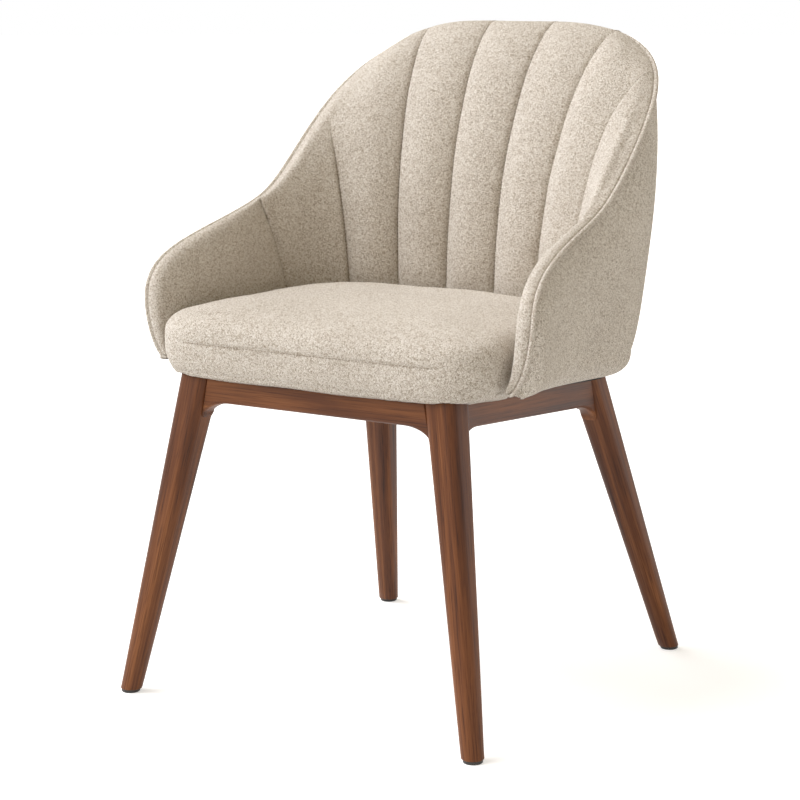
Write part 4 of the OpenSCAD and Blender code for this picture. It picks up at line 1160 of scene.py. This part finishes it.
make_pad("channelled_back", sections, "back_pad")
sew("channel_stitches", seam_lines)


# Arm pads: plain panels of the same foam and boucle inside the arms, joined to
# the outermost channels at a seam and rolled over the arms' front edges.
ARM_CROWN = 0.003
ARM_STEPS = 30
NOSE_STEPS = 34
EDGE_STEPS = 2.0

arm_sections = []
for step in range(ARM_STEPS + NOSE_STEPS + 1):
    if step <= ARM_STEPS:
        place = mix(seam_at(4, rows) + SEAM_GAP, CORE_SHARE + SEAM_GAP, step / ARM_STEPS)
    else:
        place = np.full(len(rows), mix(CORE_SHARE + SEAM_GAP, 2.0, (step - ARM_STEPS) / NOSE_STEPS))
    share = step / (ARM_STEPS + NOSE_STEPS)
    edge = CREASE_DEPTH * math.exp(-(step / EDGE_STEPS) ** 2)
    arm_sections.append(padding(place, rows, ARM_CROWN * math.sin(math.pi * share) - edge))
for side, sign in (("right", 1), ("left", -1)):
    make_pad(f"arm_padding_{side}", [s * np.array([sign, 1, 1]) for s in arm_sections], f"arm_pad_{side}")


# Outer cover: the same cloth over thin foam, pulled flatter, drawn down from
# the piping and round the shell's lower edge, and stapled under it.
RIM_ROWS = 2
WALL_ROWS = 5
FINE_RIM_ROWS = 9
FINE_WALL_ROWS = 40
COVER_SIDE = 60
COVER_ARM = 18
COVER_NOSE = 30
# darker in the gaps and the middle than the seat's tones: painted shade for the outside of the tub, which
# the lamp barely lights
COVER_TONES_WITH_SHADE = [(0.12, (0.220, 0.162, 0.106)), (0.40, (0.600, 0.512, 0.412)), (0.62, (0.860, 0.784, 0.688)),
               (0.86, (1.000, 0.955, 0.890))]
COVER_PILE = 0.0013
COVER_LUMPS = (0.0009, 0.09, 7.0)
HELD_ROWS = 12
CORNER_BIAS = 0.06
LAP_STEPS = 16
LAP_BIAS = 2.4
LAP_FADE = 0.8
LAP_ANGLES = (0, 30, 58, 75)
LAP_END = 84
HEM_THICKNESS = 0.0006
HEM_FROM = 18
HEM_OVER = 60
NOSE_ROWS = (0.42, 0.8, 0.97, 1.0)


def wall_z(s, k):
    """Height of row k of the shell's wall, from the rim down to where the core bends inward."""
    top = rim(s)[..., 2]
    high = top - top_drop(s)
    bend = np.minimum(CORE_THICKNESS / 2 + BEND_RADIUS, LOW_WALL * (top - underside(s)[..., 2]))
    low = underside(s)[..., 2] + bend
    share = (1 - np.cos(np.pi * (k - RIM_ROWS) / WALL_ROWS)) / 2
    return np.where(k <= RIM_ROWS, top - top_drop(s) * k / RIM_ROWS, mix(high, low, share))


def bend_at(s, angle, radius):
    """A point of the core's bend, at an angle below the wall and a distance from its middle."""
    low = wall_z(s, RIM_ROWS + WALL_ROWS)
    middle = inside(s, low, OUTER_THICKNESS + CORE_THICKNESS / 2) - outward(s) * BEND_RADIUS
    point = middle + outward(s) * radius * math.cos(math.radians(angle))
    level = DUST_GAP + CORE_THICKNESS / 2 + BEND_RADIUS - radius * math.sin(math.radians(angle))
    point[..., 2] = frame_z(point[..., 1], level)
    return point


def cover_outside(s, sign):
    """The cover's outer face in column s: down the wall, and round the core's bend or the arm's foot."""
    wall = np.concatenate([np.linspace(0, RIM_ROWS, FINE_RIM_ROWS)[:-1],
                           np.linspace(RIM_ROWS, RIM_ROWS + WALL_ROWS, FINE_WALL_ROWS)])
    heights = wall_z(s, wall)
    many = np.full(len(heights), float(s))
    groove = GROOVE_DEPTH * np.exp(-((heights[0] - heights) / GROOVE_WIDTH) ** 2)
    lap = mix(heights[-1], underside(s)[2], 1 - (1 - np.linspace(0, 1, LAP_STEPS)[1:]) ** LAP_BIAS)
    turned = np.linspace(0, LAP_END, LAP_STEPS)[1:]
    thickness = mix(OUTER_THICKNESS, HEM_THICKNESS, ease((turned - HEM_FROM) / HEM_OVER))
    girth = BEND_RADIUS + CORE_THICKNESS / 2 + thickness
    bent = np.array([bend_at(s, angle, radius) for angle, radius in zip(turned, girth)])
    straight = inside(many[1:LAP_STEPS], lap, np.zeros(len(lap)))
    lower = mix(bent, straight, ease((s - LAP_FADE) / (CORE_SHARE - LAP_FADE)))
    outer = np.concatenate([inside(many, heights, groove), lower])
    order = np.arange(len(outer))
    held = ease(order / HELD_ROWS) * ease((len(outer) - 1 - order) / HELD_ROWS)
    level = held * lumps(outer * np.array([sign, 1, 1]), *COVER_LUMPS)
    return outer + outward(s) * level[:, None]


def cover_inside(s):
    """The cover's inner face in column s, against the core or the arm pad, and its stapled hem."""
    z = wall_z(s, np.arange(RIM_ROWS + WALL_ROWS))
    if s > CORE_SHARE:
        low = wall_z(s, np.array(RIM_ROWS + WALL_ROWS))
        z = np.concatenate([z, [low], mix(low, underside(s)[2], np.array(NOSE_ROWS))])
    few = np.full(len(z), float(s))
    inner = inside(few, z, cover_depth(few, z))
    if s > CORE_SHARE:
        return inner
    bends = [bend_at(s, angle, BEND_RADIUS + CORE_THICKNESS / 2 + SOFT_GAP) for angle in LAP_ANGLES]
    hem = bend_at(s, LAP_END, BEND_RADIUS + CORE_THICKNESS / 2)
    hem[2] = frame_z(hem[1], DUST_GAP)
    return np.concatenate([inner, np.array(bends), hem[None]])


share = np.arange(COVER_SIDE) / COVER_SIDE
columns = np.concatenate([share + CORNER_BIAS * np.sin(2 * math.pi * share),
                          np.linspace(1, CORE_SHARE, COVER_ARM),
                          np.linspace(CORE_SHARE, 2, COVER_NOSE + 1)[1:]])
cover_sections = []
for place in np.concatenate([columns[:0:-1], -columns]):
    s = np.array(abs(place))
    section = np.concatenate([cover_outside(s, math.copysign(1, place)), cover_inside(s)[::-1]])
    cover_sections.append(mirrored(np.full(len(section), place), section))
# a darker copy of the boucle: painted shade on the tub's outside
cover_cloth = make_boucle("boucle_outside_shaded", COVER_TONES_WITH_SHADE, COVER_PILE)
cover = make_piece("outside_cover", cover_sections, ring_faces(len(cover_sections), len(cover_sections[0])),
                   cover_cloth, sharp=CLOTH_SHARP)
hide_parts("outer_cover")


# Piping: a cord wrapped in the same cloth, sewn in between pad and cover all
# round the rim and down the arms' front edges. The strip that is left of its
# wrapping runs into the joint and fills it.
PIPING_STATIONS = 260
PIPING_SIDES = 14
PIPING_END = 0.0022
CORD_WIDTH = 0.0060
CORD_SINK = 0.0010
CORD_ARC = 0.86
END_RADIUS = 0.008
END_TURN = 50
END_STEPS = 7
CAP_ANGLES = (0.5, 1.0, 1.35)
STRIP_REACH = 0.0040
STRIP_HALF = 0.0005

stations = np.linspace(-2, 2, 2 * PIPING_STATIONS + 1)
s = np.abs(stations)
out, up = outward(s), crestward(s)
joint = rim(s) + up * LAP_GAP / 2
heart = joint + out * (CORD_WIDTH / 2 - CORD_SINK) + up * LAP_GAP / 2
angle = math.pi * np.linspace(-CORD_ARC, CORD_ARC, PIPING_SIDES - 2)
rings = []
for i in range(len(stations)):
    ring = heart[i] + CORD_WIDTH / 2 * (np.outer(np.cos(angle), out[i]) + np.outer(np.sin(angle), up[i]))
    strip = joint[i] - out[i] * STRIP_REACH + np.outer([STRIP_HALF, -STRIP_HALF], up[i])
    rings.append(mirrored(np.full(PIPING_SIDES, stations[i]), np.concatenate([ring, strip])))
# both ends of the cord turn inward under the arms, and taper off
for end, step in ((0, 1), (-1, -2)):
    ring, sign = rings[end], math.copysign(1, stations[end])
    ahead = unit(ring.mean(axis=0) - rings[step].mean(axis=0))
    axis = unit(np.cross(ahead, [-sign, 0, 0]))
    hinge = ring.mean(axis=0) + np.cross(axis, ahead) * END_RADIUS
    for angle in np.radians(np.linspace(0, END_TURN, END_STEPS)[1:]):
        turned = np.array(Matrix.Rotation(angle, 3, Vector(axis)))
        bent = hinge + (ring - hinge) @ turned.T
        rings = [bent] + rings if end == 0 else rings + [bent]
    past = unit(rings[end].mean(axis=0) - rings[step].mean(axis=0)) * PIPING_END
    tip = rings[end].mean(axis=0)
    caps = [tip + (rings[end] - tip) * math.cos(a) + past * math.sin(a) for a in CAP_ANGLES]
    rings = caps[::-1] + rings if end == 0 else rings + caps
piping = make_piece("piping", rings, ring_faces(len(rings), PIPING_SIDES), boucle,
                    sharp=CLOTH_SHARP)
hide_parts("rim_piping")


# Studio: a white floor that keeps the chair's shadow, a white surround that
# also fills the shaded sides, and a broad soft lamp high on the front's left.
FLOOR_RADIUS = 30.0
FLOOR_SIDES = 64
FLOOR_TONE = 0.8
WORLD_LIGHT = 0.46
WORLD_WARMTH = (1.0, 0.882, 0.67)
KEY_LIGHT = 3.9
KEY_COLOUR = (0.955, 0.97, 1.02)
KEY_ANGLE = math.radians(60)
KEY_FROM = Vector((-0.92, -0.48, 1.12))
FLOOR_LIFT = 0.55


def seen_rays(tree):
    """1 for what the camera sees, straight, mirrored or through glass, and 0 for what lights the chair."""
    path = tree.nodes.new("ShaderNodeLightPath").outputs
    seen = add_math(tree, "MAXIMUM", path["Is Camera Ray"], path["Is Glossy Ray"])
    return add_math(tree, "MAXIMUM", seen, path["Is Transmission Ray"])


scene = bpy.context.scene
scene.view_settings.view_transform = "Standard"
world = bpy.data.worlds.new("white_surround")
scene.world = world
world.use_nodes = True
tree = world.node_tree
seen = seen_rays(tree)
air = add_node(tree, "ShaderNodeMixRGB", Fac=seen, Color1=(*WORLD_WARMTH, 1), Color2=(1, 1, 1, 1))
fill(tree, tree.nodes["Background"], Color=air.outputs[0], Strength=add_range(tree, seen, WORLD_LIGHT, 1.0))

key_data = bpy.data.lights.new("soft_lamp", "SUN")
key_data.energy = KEY_LIGHT
key_data.color = KEY_COLOUR
key_data.angle = KEY_ANGLE
key = bpy.data.objects.new("soft_lamp", key_data)
key.rotation_euler = KEY_FROM.to_track_quat("Z", "Y").to_euler()
scene.collection.objects.link(key)

floor_mesh = bpy.data.meshes.new("floor")
disc = bmesh.new()
bmesh.ops.create_circle(disc, cap_ends=True, segments=FLOOR_SIDES, radius=FLOOR_RADIUS)
disc.to_mesh(floor_mesh)
disc.free()
floor = bpy.data.objects.new("floor", floor_mesh)
scene.collection.objects.link(floor)
floor_paint = bpy.data.materials.new("floor_paint")
floor_paint.use_nodes = True
tree = floor_paint.node_tree
tree.nodes.remove(tree.nodes["Principled BSDF"])
matt = add_node(tree, "ShaderNodeBsdfDiffuse", Color=(FLOOR_TONE, FLOOR_TONE, FLOOR_TONE, 1))
lift = add_math(tree, "MULTIPLY", seen_rays(tree), FLOOR_LIFT)
glow = add_node(tree, "ShaderNodeEmission", Strength=lift)
paint = add_node(tree, "ShaderNodeAddShader")
for socket, layer in zip(paint.inputs, (matt, glow)):
    tree.links.new(layer.outputs[0], socket)
tree.links.new(paint.outputs[0], tree.nodes["Material Output"].inputs["Surface"])
floor_mesh.materials.append(floor_paint)
